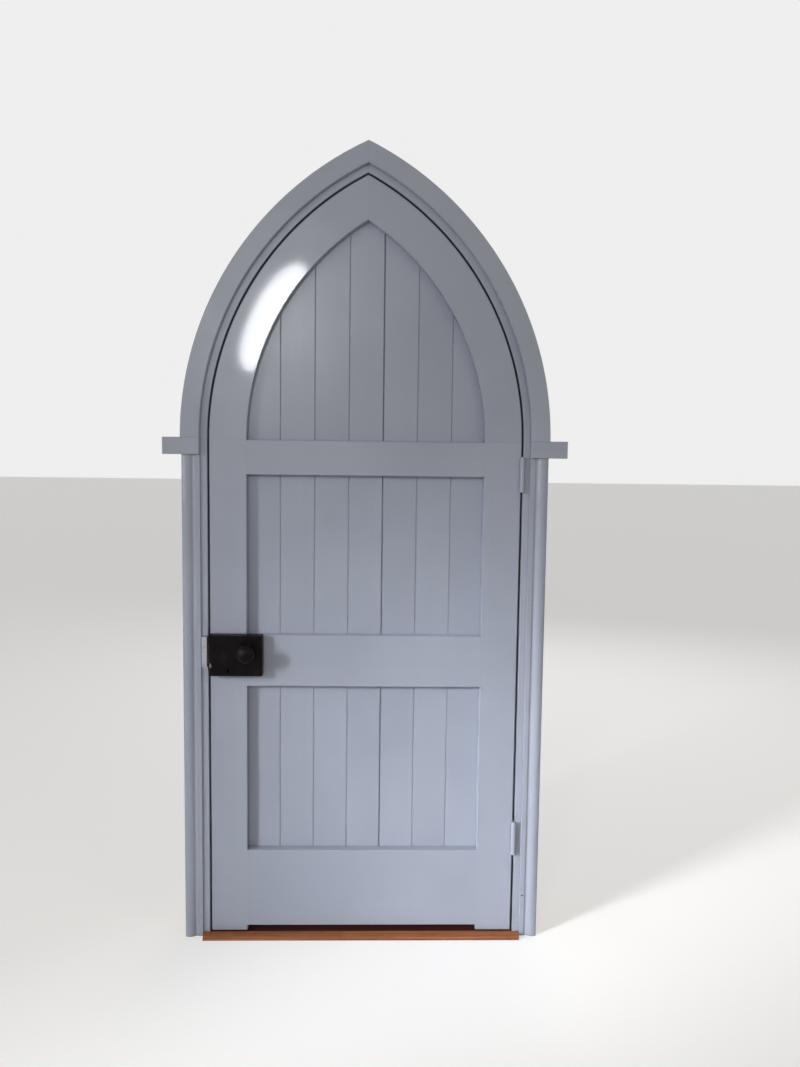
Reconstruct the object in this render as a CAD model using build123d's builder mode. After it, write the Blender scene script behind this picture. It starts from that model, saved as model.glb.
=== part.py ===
from build123d import *

import os
from math import acos, cos, degrees, radians, sin, sqrt

# A pointed-arch framed and boarded door in its frame, seen from the room it opens into.
# The frame's wall is left out. All lengths are millimetres.
# +X is to the right, +Y goes into the wall and +Z is up. The origin is on the floor, under the
# middle of the doorway, in the plane of the door's front face.

os.makedirs("parts", exist_ok=True)

# The pointed arch: two arcs whose centres lie on the spring line, each beyond the middle
spring_line = 1336
arch_offset = 350

# The leaf
leaf_half_width = 404
leaf_thickness = 44
leaf_foot = 15
stile_width = 96
rail_thickness = 25
arris = 1.5

# Rails: the height of each one's lower edge, and how deep it is
spring_rail_depth = 90
lock_rail_bottom = 688
lock_rail_depth = 137
bottom_rail_bottom = 28
bottom_rail_depth = 211
tenon_thickness = 12
tenon_length = 54
tenon_shoulder = 12
double_tenon_from = 120
mortise_gap = 0.5
peg_radius = 4.5
peg_inset = 28
peg_front_cover = 4

# Boards: tongued, grooved and V-jointed, running behind the rails
board_count = 7
board_pitch = 89.2
board_gap = 0.4
open_joint_gap = 1.8
open_joint = 3
board_lap = 12
board_end_gap = 0.5
v_depth = 1.5
tongue_length = 6
tongue_thickness = 6
groove_clearance = 0.4
board_nail_radius = 1.2
board_nail_head_radius = 2.4
board_nail_head = 1.2
board_nail_length = 34
board_nail_spacing = 48

# Loose oak tenons that hold the curved rails to the stiles and to each other
key_thickness = 12
key_width = 34
key_half_length = 45
apex_key_height = 40
apex_key_half_length = 34

# The frame
leaf_gap = 5
jamb_thickness = 32
jamb_depth = 115
stop_thickness = 12
stop_depth = 40
stop_gap = 2
margin = 18
threshold_height = 10
threshold_front = 30
threshold_side_gap = 2
threshold_nose = 3
dowel_radius = 5
dowel_half_length = 30
apex_dowel_half_length = 16
dowel_inset = 30

# Planted mouldings on the wall's face
band_width = 49
band_thickness = 17
casing_width = 47
casing_flat = 13
casing_flat_height = 5.5
casing_groove = 8
casing_groove_height = 3.5
casing_bead_height = 10
casing_edge_height = 6
casing_quirk = 1
horn_bottom = 1297
horn_top = 1341
horn_overhang = 47
horn_thickness = 18.5
back_groove_width = 6
back_groove_depth = 2
moulding_arris = 2
trim_nail_radius = 1.4
trim_nail_head_radius = 2.4
trim_nail_head = 1.2
trim_nail_sunk = 0.6
trim_nail_depth = 28
trim_nail_inset = 7.5
casing_nail_count = 5
casing_nail_margin = 115
band_nail_count = 5
band_nail_margin = 6
lost_nail_radius = 3
lost_nail_depth = 4

# Screws that hold the frame to the wall's studs, through each jamb behind the stop
fixing_radius = 3
fixing_sink_radius = 6
fixing_y = 100
fixing_middle = 700
fixing_outer_spacing = 1100
fixing_inner_spacing = 400

# Butt hinges
hinge_centres = (275, 1253)
hinge_height = 90
knuckle_radius = 6.5
knuckle_count = 5
knuckle_gap = 0.3
pin_radius = 3
pin_head_radius = 4
pin_head = 2
pin_clearance = 0.05
flap_thickness = 2.4
flap_depth = 30
flap_clearance = 0.4
hinge_screw_radius = 1.8
hinge_screw_head_radius = 3.4
hinge_screw_length = 24
hinge_screw_spacing = 32
hinge_screw_stagger = 4

# The rim lock
lock_left = 403
lock_width = 137
lock_bottom = 721
lock_height = 108
lock_depth = 28
lock_wall = 2
lock_plate_thickness = 2
lock_edge_round = 2.5
lock_plate_gap = 0.5
lock_screw_radius = 2
lock_screw_head_radius = 4
lock_screw_head = 2.4
lock_screw_reach = 18
lock_screw_inset = 8.5
knob_x = -304
knob_z = 788
boss_radius = 14
boss_height = 3
spindle_hole_radius = 9.5
keyhole_x = -354
keyhole_z = 738
keyhole_radius = 4
keyhole_slot_width = 3.4
keyhole_slot_length = 9
door_keyhole_radius = 6

# Latch, bolt and what works them, all inside the lock
bolt_clearance = 0.3
bolt_proud = 1
tail_front = 16
tail_thickness = 4
latch_travel = 12
horn_swing = 40
horn_tip_radius = 3
horn_arm_width = 5
follower_radius = 9
follower_journal_radius = 8
latch_head_bottom = 778
latch_head_height = 22
latch_head_front = 20
latch_head_thickness = 14
latch_head_length = 32
latch_bevel = 9
latch_web_width = 12
fork_outer_bar = 8
fork_lower_bar = 6
fork_gap = 0.5
hook_width = 4.7
hook_reach = 1
spring_guide_radius = 1.4
spring_guide_length = 6
spring_radius = 3
spring_wire_radius = 0.5
spring_turns = 7
dead_bolt_bottom = 747.5
dead_bolt_height = 12
dead_bolt_travel = 12
dead_bolt_head_front = 20
dead_bolt_head_thickness = 12
dead_bolt_head_length = 24
dead_bolt_length = 106
stump_radius = 2.5
stump_x = -322
talon_depth = 4.5
talon_width = 12
bow_spring_width = 4
bow_spring_thickness = 0.8
bow_spring_span = 46
bow_spring_rise = 5
bow_post_radius = 2.2
bow_post_drop = 3.1

# Knobs and the plates outside
fit = 0.05
spindle_side = 7
knob_neck_radius = 9
knob_radius = 23
knob_half_depth = 16
knob_stand = 37
knob_waist_radius = 8
knob_collar_radius = 12
knob_collar_gap = 0.3
knob_collar_thickness = 2.5
knob_pin_radius = 1.3
knob_pin_stand = 11
knob_pin_sunk = 0.3
plate_thickness = 3
rose_radius = 25
rose_screw_ring = 18
keyplate_width = 30
keyplate_height = 50
keyplate_screw_inset = 6
plate_screw_radius = 1.3
plate_screw_head_radius = 2.4
plate_screw_length = 14

# The keep on the jamb
keep_width = 14
keep_bottom = 743.5
keep_height = 80.5
keep_depth = 26
keep_wall = 2.5
keep_flange_depth = 22
keep_flange_thickness = 2
keep_screw_inset = 14

# Worked out from the sizes above
sides = {"left": -1, "right": 1}
leaf_radius = leaf_half_width + arch_offset
rail_radius = leaf_radius - stile_width
stile_inner = leaf_half_width - stile_width
rebate_edge = stile_inner + board_lap
jamb_face = leaf_half_width + leaf_gap
jamb_back = jamb_face + jamb_thickness
casing_inner = jamb_face + margin
casing_outer = casing_inner + casing_width
band_inner_radius = casing_inner + arch_offset
horn_end = casing_outer + horn_overhang
stop_front = leaf_thickness + stop_gap
hinge_x = leaf_half_width + leaf_gap / 2
hinge_y = -knuckle_radius
lock_right = lock_left - lock_width
lock_top = lock_bottom + lock_height
boards_middle = (rail_thickness + leaf_thickness) / 2
rails = {
    "spring_rail": (spring_line - spring_rail_depth, spring_line),
    "lock_rail": (lock_rail_bottom, lock_rail_bottom + lock_rail_depth),
    "bottom_rail": (bottom_rail_bottom, bottom_rail_bottom + bottom_rail_depth),
}


def arc_height(radius, x=0.0):
    """Height above the spring line of an arch arc of this radius, at a distance from the middle."""
    return sqrt(radius**2 - (arch_offset + x) ** 2)


def upright(y):
    """A plane facing the room, at this depth; a sketch on it is drawn in X and Z."""
    return Plane.XZ.offset(-y)


def arch_side(inner, outer, side, low=spring_line):
    """Sketch one side of the pointed arch between two radii, from a height up to the middle."""
    with Locations((-side * arch_offset, spring_line)):
        Circle(outer)
        Circle(inner, mode=Mode.SUBTRACT)
    with Locations((side * outer / 2, low + outer / 2)):
        Rectangle(outer, outer, mode=Mode.INTERSECT)


def arch_area(radius):
    """Sketch all that lies under a pointed arch of this radius, down to the floor."""
    with Locations((-arch_offset, spring_line)):
        Circle(radius)
    with Locations((arch_offset, spring_line)):
        Circle(radius, mode=Mode.INTERSECT)
    with Locations((0, spring_line / 2)):
        Rectangle(2 * (radius - arch_offset), spring_line)


def block(x_span, y_span, z_span, mode=Mode.ADD):
    """A box between two corners, given as a span along each axis."""
    centre = tuple((low + high) / 2 for low, high in (x_span, y_span, z_span))
    with Locations(centre):
        Box(*[abs(high - low) for low, high in (x_span, y_span, z_span)], mode=mode)


def rod(radius, x, z, y_span, mode=Mode.ADD):
    """A round bar or hole along Y."""
    low, high = y_span
    with Locations(Plane((x, low, z), x_dir=(1, 0, 0), z_dir=(0, 1, 0))):
        Cylinder(radius, high - low, align=(Align.CENTER, Align.CENTER, Align.MIN), mode=mode)


def cross_rod(radius, y, z, x_span, mode=Mode.ADD):
    """A round bar or hole along X."""
    low, high = min(x_span), max(x_span)
    with Locations(Plane((low, y, z), x_dir=(0, 1, 0), z_dir=(1, 0, 0))):
        Cylinder(radius, high - low, align=(Align.CENTER, Align.CENTER, Align.MIN), mode=mode)


def countersink(radius, head_radius, place, mode=Mode.SUBTRACT):
    """A cone from the head's radius to the shank's, its wide end at the place and facing its Z."""
    with Locations(place):
        Cone(
            radius,
            head_radius,
            head_radius - radius,
            align=(Align.CENTER, Align.CENTER, Align.MAX),
            mode=mode,
        )


def across(lower, upper, count):
    """Evenly spaced values from one end to the other."""
    return [lower + (upper - lower) * i / (count - 1) for i in range(count)]


def save(piece, label):
    """Name a finished piece and write its file."""
    piece.part.label = label
    export_step(piece.part, f"parts/{label}.step")


def tenon_spans(bottom, top):
    """The heights that a rail's tenons cover: one tenon, or two on a deep rail."""
    low, high = bottom + tenon_shoulder, top - tenon_shoulder
    if top - bottom < double_tenon_from:
        return [(low, high)]
    third = (high - low) / 3
    return [(low, low + third), (high - third, high)]


tenon_front = (rail_thickness - tenon_thickness) / 2
tenon_back = tenon_front + tenon_thickness
all_tenons = [span for bottom, top in rails.values() for span in tenon_spans(bottom, top)]
peg_x = stile_inner + peg_inset
peg_span = (peg_front_cover, leaf_thickness)
key_x = leaf_half_width - stile_width / 4
key_front = (leaf_thickness - key_thickness) / 2
key_back = key_front + key_thickness
apex_key_middle = spring_line + (arc_height(leaf_radius) + arc_height(rail_radius)) / 2
apex_key_low = apex_key_middle - apex_key_height / 2
apex_key_high = apex_key_middle + apex_key_height / 2


def spindle_way(y_span):
    """Cut the way through for the spindle."""
    rod(spindle_hole_radius, knob_x, knob_z, y_span, mode=Mode.SUBTRACT)


def key_way(y_span):
    """Cut the way through the wood for the key."""
    rod(door_keyhole_radius, keyhole_x, keyhole_z, y_span, mode=Mode.SUBTRACT)


# Places of the lock's three long screws, as X and Z
lock_screw_places = [
    (-lock_left + lock_screw_inset, lock_bottom + lock_screw_inset),
    (-lock_right - lock_screw_inset, lock_bottom + lock_screw_inset),
    (-lock_right - lock_screw_inset, lock_top - lock_screw_inset),
]


def lock_screw_holes(y_span):
    """Cut the holes that the lock's long screws fill."""
    for x, z in lock_screw_places:
        rod(lock_screw_radius, x, z, y_span, mode=Mode.SUBTRACT)


# Places of the small screws of the rose and the key plate outside, as X and Z
rose_screw_places = [
    (
        knob_x + rose_screw_ring * cos(radians(angle)),
        knob_z + rose_screw_ring * sin(radians(angle)),
    )
    for angle in (0, 120, 240)
]
keyplate_screw_places = [
    (keyhole_x, keyhole_z - keyplate_height / 2 + keyplate_screw_inset),
    (keyhole_x, keyhole_z + keyplate_height / 2 - keyplate_screw_inset),
]
plate_screw_places = rose_screw_places + keyplate_screw_places
plate_screw_start = leaf_thickness - plate_screw_length


def plate_screw_holes(places, y_span):
    """Cut the holes that the small screws of the outside plates fill."""
    for x, z in places:
        rod(plate_screw_radius, x, z, y_span, mode=Mode.SUBTRACT)


# Places of the hinge screws along the flap, as Y and the height above the hinge's middle
hinge_screw_places = [
    (flap_depth / 2 + hinge_screw_stagger, -hinge_screw_spacing),
    (flap_depth / 2 - hinge_screw_stagger, 0),
    (flap_depth / 2 + hinge_screw_stagger, hinge_screw_spacing),
]


def flap_recesses(x_face, inward):
    """Cut the recesses of both hinges' flaps, and their screw holes, into the edge of a piece."""
    for middle in hinge_centres:
        block(
            (x_face, x_face + inward * flap_thickness),
            (-leaf_gap, flap_depth),
            (middle - hinge_height / 2, middle + hinge_height / 2),
            mode=Mode.SUBTRACT,
        )
        for y, rise in hinge_screw_places:
            ends = (x_face, x_face + inward * hinge_screw_length)
            cross_rod(hinge_screw_radius, y, middle + rise, ends, mode=Mode.SUBTRACT)


# The leaf: stiles, with rebates for the boards, mortises for the rails and ways for the lock
rail_edges = sorted(height for span in rails.values() for height in span)
open_spans = list(zip([leaf_foot] + rail_edges[1::2], rail_edges[::2]))

for name, side in {"lock_stile": -1, "hinge_stile": 1}.items():
    with BuildPart() as stile:
        heights = (leaf_foot, spring_line)
        block((side * stile_inner, side * leaf_half_width), (0, rail_thickness), heights)
        outer_edge = stile.edges().filter_by(Axis.Z).group_by(Axis.Y)[0].sort_by(Axis.X)
        chamfer(outer_edge[0 if side < 0 else -1], arris)
        block(
            (side * rebate_edge, side * leaf_half_width), (rail_thickness, leaf_thickness), heights
        )
        for low, high in open_spans:
            with BuildSketch(Plane.XY.offset(low)):
                with BuildLine():
                    Polyline(
                        (side * stile_inner, 0),
                        (side * (stile_inner + arris), 0),
                        (side * stile_inner, arris),
                        close=True,
                    )
                make_face()
            extrude(amount=high - low, mode=Mode.SUBTRACT)
        for low, high in all_tenons:
            block(
                (side * stile_inner, side * (stile_inner + tenon_length + mortise_gap)),
                (tenon_front, tenon_back),
                (low, high),
                mode=Mode.SUBTRACT,
            )
            middle = (low + high) / 2
            rod(peg_radius, side * peg_x, middle, peg_span, mode=Mode.SUBTRACT)
        block(
            (side * key_x - key_width / 2, side * key_x + key_width / 2),
            (key_front, key_back),
            (spring_line - key_half_length, spring_line),
            mode=Mode.SUBTRACT,
        )
        if side < 0:
            spindle_way((0, leaf_thickness))
            key_way((0, leaf_thickness))
            lock_screw_holes((0, lock_screw_reach))
            plate_screw_holes(keyplate_screw_places, (plate_screw_start, leaf_thickness))
        else:
            flap_recesses(leaf_half_width, -1)
    save(stile, name)

# The leaf: curved head rails, one each side of the point
for name, side in sides.items():
    with BuildPart() as arch_rail:
        with BuildSketch(upright(rail_thickness)):
            arch_side(rail_radius, leaf_radius, side)
        extrude(amount=rail_thickness)
        front_arcs = arch_rail.faces().sort_by(Axis.Y)[0].edges().filter_by(GeomType.CIRCLE)
        chamfer(front_arcs, arris)
        with BuildSketch(upright(leaf_thickness)):
            arch_side(rail_radius + board_lap, leaf_radius, side)
        extrude(amount=leaf_thickness - rail_thickness)
        block(
            (side * key_x - key_width / 2, side * key_x + key_width / 2),
            (key_front, key_back),
            (spring_line, spring_line + key_half_length),
            mode=Mode.SUBTRACT,
        )
        block(
            (0, side * apex_key_half_length),
            (key_front, key_back),
            (apex_key_low, apex_key_high),
            mode=Mode.SUBTRACT,
        )
    save(arch_rail, f"{name}_arch_rail")

# The leaf: boards, each between two joints
board_edges = [(i - board_count / 2) * board_pitch for i in range(board_count + 1)]
board_edges[0] = -rebate_edge + board_end_gap
board_edges[-1] = rebate_edge - board_end_gap
board_middles = [(board_edges[i] + board_edges[i + 1]) / 2 for i in range(board_count)]
nail_start = leaf_thickness - board_nail_length


def board_nail_places(board):
    """The X and Z of each nail of a board, two at each rail."""
    return [
        (board_middles[board] + shift, (bottom + top) / 2)
        for bottom, top in rails.values()
        for shift in (-board_nail_spacing / 2, board_nail_spacing / 2)
    ]


def tongue_edge(x):
    """A board's right edge at a joint, front to back: V, tongue, V."""
    tip = x + tongue_length
    half = tongue_thickness / 2
    return [
        (x - v_depth, rail_thickness),
        (x, rail_thickness + v_depth),
        (x, boards_middle - half),
        (tip, boards_middle - half),
        (tip, boards_middle + half),
        (x, boards_middle + half),
        (x, leaf_thickness - v_depth),
        (x - v_depth, leaf_thickness),
    ]


def groove_edge(x):
    """A board's left edge at a joint, back to front: V, groove, V."""
    end = x + tongue_length + groove_clearance
    half = (tongue_thickness + groove_clearance) / 2
    return [
        (x + v_depth, leaf_thickness),
        (x, leaf_thickness - v_depth),
        (x, boards_middle + half),
        (end, boards_middle + half),
        (end, boards_middle - half),
        (x, boards_middle - half),
        (x, rail_thickness + v_depth),
        (x + v_depth, rail_thickness),
    ]


def board_outline(board):
    """A board's section, anticlockwise in X and Y."""
    first, last = board == 0, board == board_count - 1
    left, right = board_edges[board], board_edges[board + 1]
    left_gap = open_joint_gap if board == open_joint + 1 else board_gap
    right_gap = open_joint_gap if board == open_joint else board_gap
    right_edge = tongue_edge(right - right_gap / 2)
    left_edge = groove_edge(left + left_gap / 2)
    if first:
        left_edge = [(left, leaf_thickness), (left, rail_thickness)]
    if last:
        right_edge = [(right, rail_thickness), (right, leaf_thickness)]
    return right_edge + left_edge


for board in range(board_count):
    with BuildPart() as plank:
        with BuildSketch(Plane.XY.offset(bottom_rail_bottom)):
            with BuildLine():
                Polyline(*board_outline(board), close=True)
            make_face()
        extrude(amount=spring_line + arc_height(leaf_radius) - bottom_rail_bottom)
        with BuildSketch(upright(leaf_thickness)):
            arch_area(rail_radius + board_lap - board_end_gap)
        extrude(amount=leaf_thickness, mode=Mode.INTERSECT)
        for x, z in board_nail_places(board):
            rod(board_nail_radius, x, z, (rail_thickness, leaf_thickness), mode=Mode.SUBTRACT)
            head = (leaf_thickness - board_nail_head, leaf_thickness)
            rod(board_nail_head_radius, x, z, head, mode=Mode.SUBTRACT)
        if board == 0:
            spindle_way((rail_thickness, leaf_thickness))
            plate_screw_holes(rose_screw_places, (plate_screw_start, leaf_thickness))
    save(plank, f"board_{board + 1}")

# The leaf: straight rails with their tenons, in front of the boards
for name, (bottom, top) in rails.items():
    with BuildPart() as rail:
        block((-stile_inner, stile_inner), (0, rail_thickness), (bottom, top))
        chamfer(rail.edges().filter_by(Axis.X).group_by(Axis.Y)[0], arris)
        for low, high in tenon_spans(bottom, top):
            reach = stile_inner + tenon_length
            block((-reach, reach), (tenon_front, tenon_back), (low, high))
            for side in sides.values():
                middle = (low + high) / 2
                rod(peg_radius, side * peg_x, middle, peg_span, mode=Mode.SUBTRACT)
        for board in range(board_count):
            for x, z in board_nail_places(board):
                if bottom < z < top:
                    reach = (nail_start, rail_thickness)
                    rod(board_nail_radius, x, z, reach, mode=Mode.SUBTRACT)
        if name == "lock_rail":
            spindle_way((0, rail_thickness))
            key_way((0, rail_thickness))
            lock_screw_holes((0, lock_screw_reach))
    save(rail, name)

# The leaf: nails that hold the boards to the rails, driven from the back
with BuildPart() as board_nails:
    for board in range(board_count):
        for x, z in board_nail_places(board):
            rod(board_nail_radius, x, z, (nail_start, leaf_thickness))
            head = (leaf_thickness - board_nail_head, leaf_thickness)
            rod(board_nail_head_radius, x, z, head)
save(board_nails, "board_nails")

# The leaf: pegs through the tenons, driven from the back
with BuildPart() as tenon_pegs:
    for low, high in all_tenons:
        for side in sides.values():
            rod(peg_radius, side * peg_x, (low + high) / 2, peg_span)
save(tenon_pegs, "tenon_pegs")

# The leaf: loose tenons in the curved rails' joints
with BuildPart() as loose_tenons:
    for side in sides.values():
        block(
            (side * key_x - key_width / 2, side * key_x + key_width / 2),
            (key_front, key_back),
            (spring_line - key_half_length, spring_line + key_half_length),
        )
    block(
        (-apex_key_half_length, apex_key_half_length),
        (key_front, key_back),
        (apex_key_low, apex_key_high),
    )
save(loose_tenons, "loose_tenons")

# The frame: where nails hold the mouldings to the jambs, as X and Z
trim_radius = band_inner_radius + trim_nail_inset
band_sweep = degrees(acos(arch_offset / trim_radius))
casing_nail_heights = across(casing_nail_margin, horn_bottom - casing_nail_margin, casing_nail_count)


def casing_nail_places(side):
    """Places of one casing's nails; the lowest nail on the right is lost."""
    heights = casing_nail_heights[1:] if side > 0 else casing_nail_heights
    return [(side * (casing_inner + trim_nail_inset), z) for z in heights]


def horn_nail_places(side):
    """Place of the nail in one horn."""
    return [(side * (casing_inner + trim_nail_inset), (horn_bottom + horn_top) / 2)]


def band_nail_places(side):
    """Places of the nails along one side of the arch band."""
    return [
        (
            side * (trim_radius * cos(radians(angle)) - arch_offset),
            spring_line + trim_radius * sin(radians(angle)),
        )
        for angle in across(band_nail_margin, band_sweep - band_nail_margin, band_nail_count)
    ]


def trim_nail_ways(places, height):
    """Cut the nails' holes through a moulding of this height, with a dimple over each head."""
    for x, z in places:
        rod(trim_nail_radius, x, z, (-height, 0), mode=Mode.SUBTRACT)
        sunk = -height + trim_nail_sunk + trim_nail_head
        rod(trim_nail_head_radius, x, z, (-height, sunk), mode=Mode.SUBTRACT)


def jamb_nail_ways(places):
    """Cut the nails' holes into a jamb."""
    for x, z in places:
        rod(trim_nail_radius, x, z, (0, trim_nail_depth), mode=Mode.SUBTRACT)


def trim_nails_in(places, height):
    """Make the nails through a moulding of this height."""
    for x, z in places:
        top = -height + trim_nail_sunk
        rod(trim_nail_radius, x, z, (top, trim_nail_depth))
        rod(trim_nail_head_radius, x, z, (top, top + trim_nail_head))


def post(radius, x, y, z_span, mode=Mode.ADD):
    """A round bar or hole along Z."""
    low, high = z_span
    with Locations((x, y, low)):
        Cylinder(radius, high - low, align=(Align.CENTER, Align.CENTER, Align.MIN), mode=mode)


# The frame: dowels in the joints of the curved jambs
jamb_outer_radius = jamb_back + arch_offset
jamb_inner_radius = jamb_face + arch_offset
dowel_x = (jamb_face + jamb_back) / 2
dowel_depths = (dowel_inset, jamb_depth - dowel_inset)
apex_low = arc_height(jamb_inner_radius)
apex_high = arc_height(jamb_outer_radius, apex_dowel_half_length)
apex_dowel_z = spring_line + (apex_low + apex_high) / 2


def frame_dowel_set(mode=Mode.ADD):
    """The dowels of the frame's joints, as pieces or as the holes they fill."""
    for y in dowel_depths:
        for side in sides.values():
            reach = (spring_line - dowel_half_length, spring_line + dowel_half_length)
            post(dowel_radius, side * dowel_x, y, reach, mode=mode)
        ends = (-apex_dowel_half_length, apex_dowel_half_length)
        cross_rod(dowel_radius, y, apex_dowel_z, ends, mode=mode)


with BuildPart() as frame_dowels:
    frame_dowel_set()
save(frame_dowels, "frame_dowels")

# The frame: where the keep's flange and screws go into the left jamb
keep_top = keep_bottom + keep_height
keep_screw_heights = (keep_bottom + keep_screw_inset, keep_top - keep_screw_inset)
keep_screw_y = keep_flange_depth / 2 + keep_wall
fixing_heights = [
    fixing_middle + sign * spacing / 2
    for spacing in (fixing_outer_spacing, fixing_inner_spacing)
    for sign in (-1, 1)
]

# The frame: straight jambs
for name, side in sides.items():
    with BuildPart() as jamb:
        block((side * jamb_face, side * jamb_back), (0, jamb_depth), (threshold_height, spring_line))
        front = jamb.edges().filter_by(Axis.Z).group_by(Axis.Y)[0].sort_by(Axis.X)
        chamfer(front[-1 if side < 0 else 0], arris)
        jamb_nail_ways(casing_nail_places(side) + horn_nail_places(side))
        for z in fixing_heights:
            span = (side * jamb_face, side * jamb_back)
            cross_rod(fixing_radius, fixing_y, z, span, mode=Mode.SUBTRACT)
            mouth = Plane((side * jamb_face, fixing_y, z), x_dir=(0, 1, 0), z_dir=(-side, 0, 0))
            countersink(fixing_radius, fixing_sink_radius, mouth)
        frame_dowel_set(mode=Mode.SUBTRACT)
        if side < 0:
            block(
                (-jamb_face, -jamb_face - keep_flange_thickness),
                (-leaf_gap, keep_flange_depth),
                (keep_bottom, keep_top),
                mode=Mode.SUBTRACT,
            )
            for z in keep_screw_heights:
                span = (-jamb_face, -jamb_face - hinge_screw_length)
                cross_rod(hinge_screw_radius, keep_screw_y, z, span, mode=Mode.SUBTRACT)
        else:
            flap_recesses(jamb_face, 1)
    save(jamb, f"{name}_jamb")

# The frame: curved jambs, stops and the band planted on the wall around the arch
for name, side in sides.items():
    with BuildPart() as arch_jamb:
        with BuildSketch(upright(jamb_depth)):
            arch_side(jamb_inner_radius, jamb_outer_radius, side)
        extrude(amount=jamb_depth)
        inner_arc = arch_jamb.faces().sort_by(Axis.Y)[0].edges().filter_by(GeomType.CIRCLE)
        chamfer(inner_arc.sort_by(Edge.length.fget)[0], arris)
        jamb_nail_ways(band_nail_places(side))
        frame_dowel_set(mode=Mode.SUBTRACT)
    save(arch_jamb, f"{name}_arch_jamb")

    with BuildPart() as stop:
        block(
            (side * jamb_face, side * (jamb_face - stop_thickness)),
            (stop_front, stop_front + stop_depth),
            (threshold_height, spring_line),
        )
    save(stop, f"{name}_stop")

    with BuildPart() as arch_stop:
        with BuildSketch(upright(stop_front + stop_depth)):
            arch_side(jamb_inner_radius - stop_thickness, jamb_inner_radius, side)
        extrude(amount=stop_depth)
    save(arch_stop, f"{name}_arch_stop")

    with BuildPart() as arch_band:
        with BuildSketch(upright(0)):
            arch_side(band_inner_radius, band_inner_radius + band_width, side, low=horn_top)
        extrude(amount=band_thickness)
        front_arcs = arch_band.faces().sort_by(Axis.Y)[0].edges().filter_by(GeomType.CIRCLE)
        chamfer(front_arcs, moulding_arris)
        trim_nail_ways(band_nail_places(side), band_thickness)
    save(arch_band, f"{name}_arch_band")

# The frame: moulded casings and the horns on top of them
for name, side in sides.items():
    with BuildPart() as casing:
        with BuildSketch():
            with BuildLine():
                groove_end = casing_flat + casing_groove
                bead_middle = (groove_end + casing_width) / 2
                groove_rim = casing_flat_height - casing_quirk
                outline = [
                    (0, 0),
                    (0, groove_rim),
                    (casing_quirk, casing_flat_height),
                    (casing_flat, casing_flat_height),
                    (casing_flat + casing_groove / 2, casing_groove_height),
                    (groove_end, groove_rim),
                    (bead_middle, casing_bead_height),
                    (casing_width, casing_edge_height),
                    (casing_width, 0),
                ]
                at = [(side * (casing_inner + u), -height) for u, height in outline]
                Polyline(*at[:4])
                ThreePointArc(*at[3:6])
                ThreePointArc(*at[5:8])
                Polyline(at[7], at[8], at[0])
            make_face()
        extrude(amount=horn_bottom)
        trim_nail_ways(casing_nail_places(side), casing_flat_height)
        if side > 0:
            rod(
                lost_nail_radius,
                casing_inner + trim_nail_inset,
                casing_nail_heights[0],
                (-casing_flat_height, lost_nail_depth - casing_flat_height),
                mode=Mode.SUBTRACT,
            )
    save(casing, f"{name}_casing")

    with BuildPart() as horn:
        block((side * casing_inner, side * horn_end), (-horn_thickness, 0), (horn_bottom, horn_top))
        fillet(horn.faces().sort_by(Axis.Y)[0].edges(), moulding_arris)
        trim_nail_ways(horn_nail_places(side), horn_thickness)
        # A groove in the back clears the joint between the jamb and the wall
        block(
            (side * jamb_back, side * (jamb_back + back_groove_width)),
            (-back_groove_depth, 0),
            (horn_bottom, horn_top),
            mode=Mode.SUBTRACT,
        )
    save(horn, f"{name}_horn")

# The frame: nails through the mouldings
with BuildPart() as trim_nails:
    for side in sides.values():
        trim_nails_in(casing_nail_places(side), casing_flat_height)
        trim_nails_in(horn_nail_places(side), horn_thickness)
        trim_nails_in(band_nail_places(side), band_thickness)
save(trim_nails, "trim_nails")

# The frame: threshold, under the leaf and the jambs
with BuildPart() as threshold:
    nose = casing_inner - threshold_side_gap
    block((-nose, nose), (-threshold_front, 0), (0, threshold_height))
    fillet(threshold.edges().filter_by(Axis.X).group_by(Axis.Y)[0].sort_by(Axis.Z)[-1], threshold_nose)
    block((-jamb_back, jamb_back), (0, jamb_depth), (0, threshold_height))
save(threshold, "threshold")


# Butt hinges: a flap in the leaf's edge, one in the jamb, and a loose pin
def wood_screw(radius, head_radius, length, face):
    """A countersunk screw, its head flush with a face and its point behind the face."""
    with Locations(face):
        Cylinder(radius, length, align=(Align.CENTER, Align.CENTER, Align.MAX))
    countersink(radius, head_radius, face, mode=Mode.ADD)


def hinge_flap(middle, side):
    """One flap of a hinge: the leaf's at side -1, the frame's at side +1, with its knuckles."""
    near = hinge_x + side * leaf_gap / 2
    far = near + side * flap_thickness
    low = middle - hinge_height / 2
    knuckle = hinge_height / knuckle_count
    block((near, far), (flap_clearance, flap_depth), (low, low + hinge_height))
    for number in range(knuckle_count):
        if (number % 2 == 0) == (side > 0):
            foot = low + number * knuckle + knuckle_gap / 2
            head = low + (number + 1) * knuckle - knuckle_gap / 2
            post(knuckle_radius, hinge_x, hinge_y, (foot, head))
            block((near, far), (hinge_y, flap_clearance), (foot, head))
    bore = pin_radius + pin_clearance
    post(bore, hinge_x, hinge_y, (low, low + hinge_height), mode=Mode.SUBTRACT)
    for y, rise in hinge_screw_places:
        cross_rod(hinge_screw_radius, y, middle + rise, (near, far), mode=Mode.SUBTRACT)
        face = Plane((near, y, middle + rise), x_dir=(0, 1, 0), z_dir=(-side, 0, 0))
        countersink(hinge_screw_radius, hinge_screw_head_radius, face)


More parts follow.
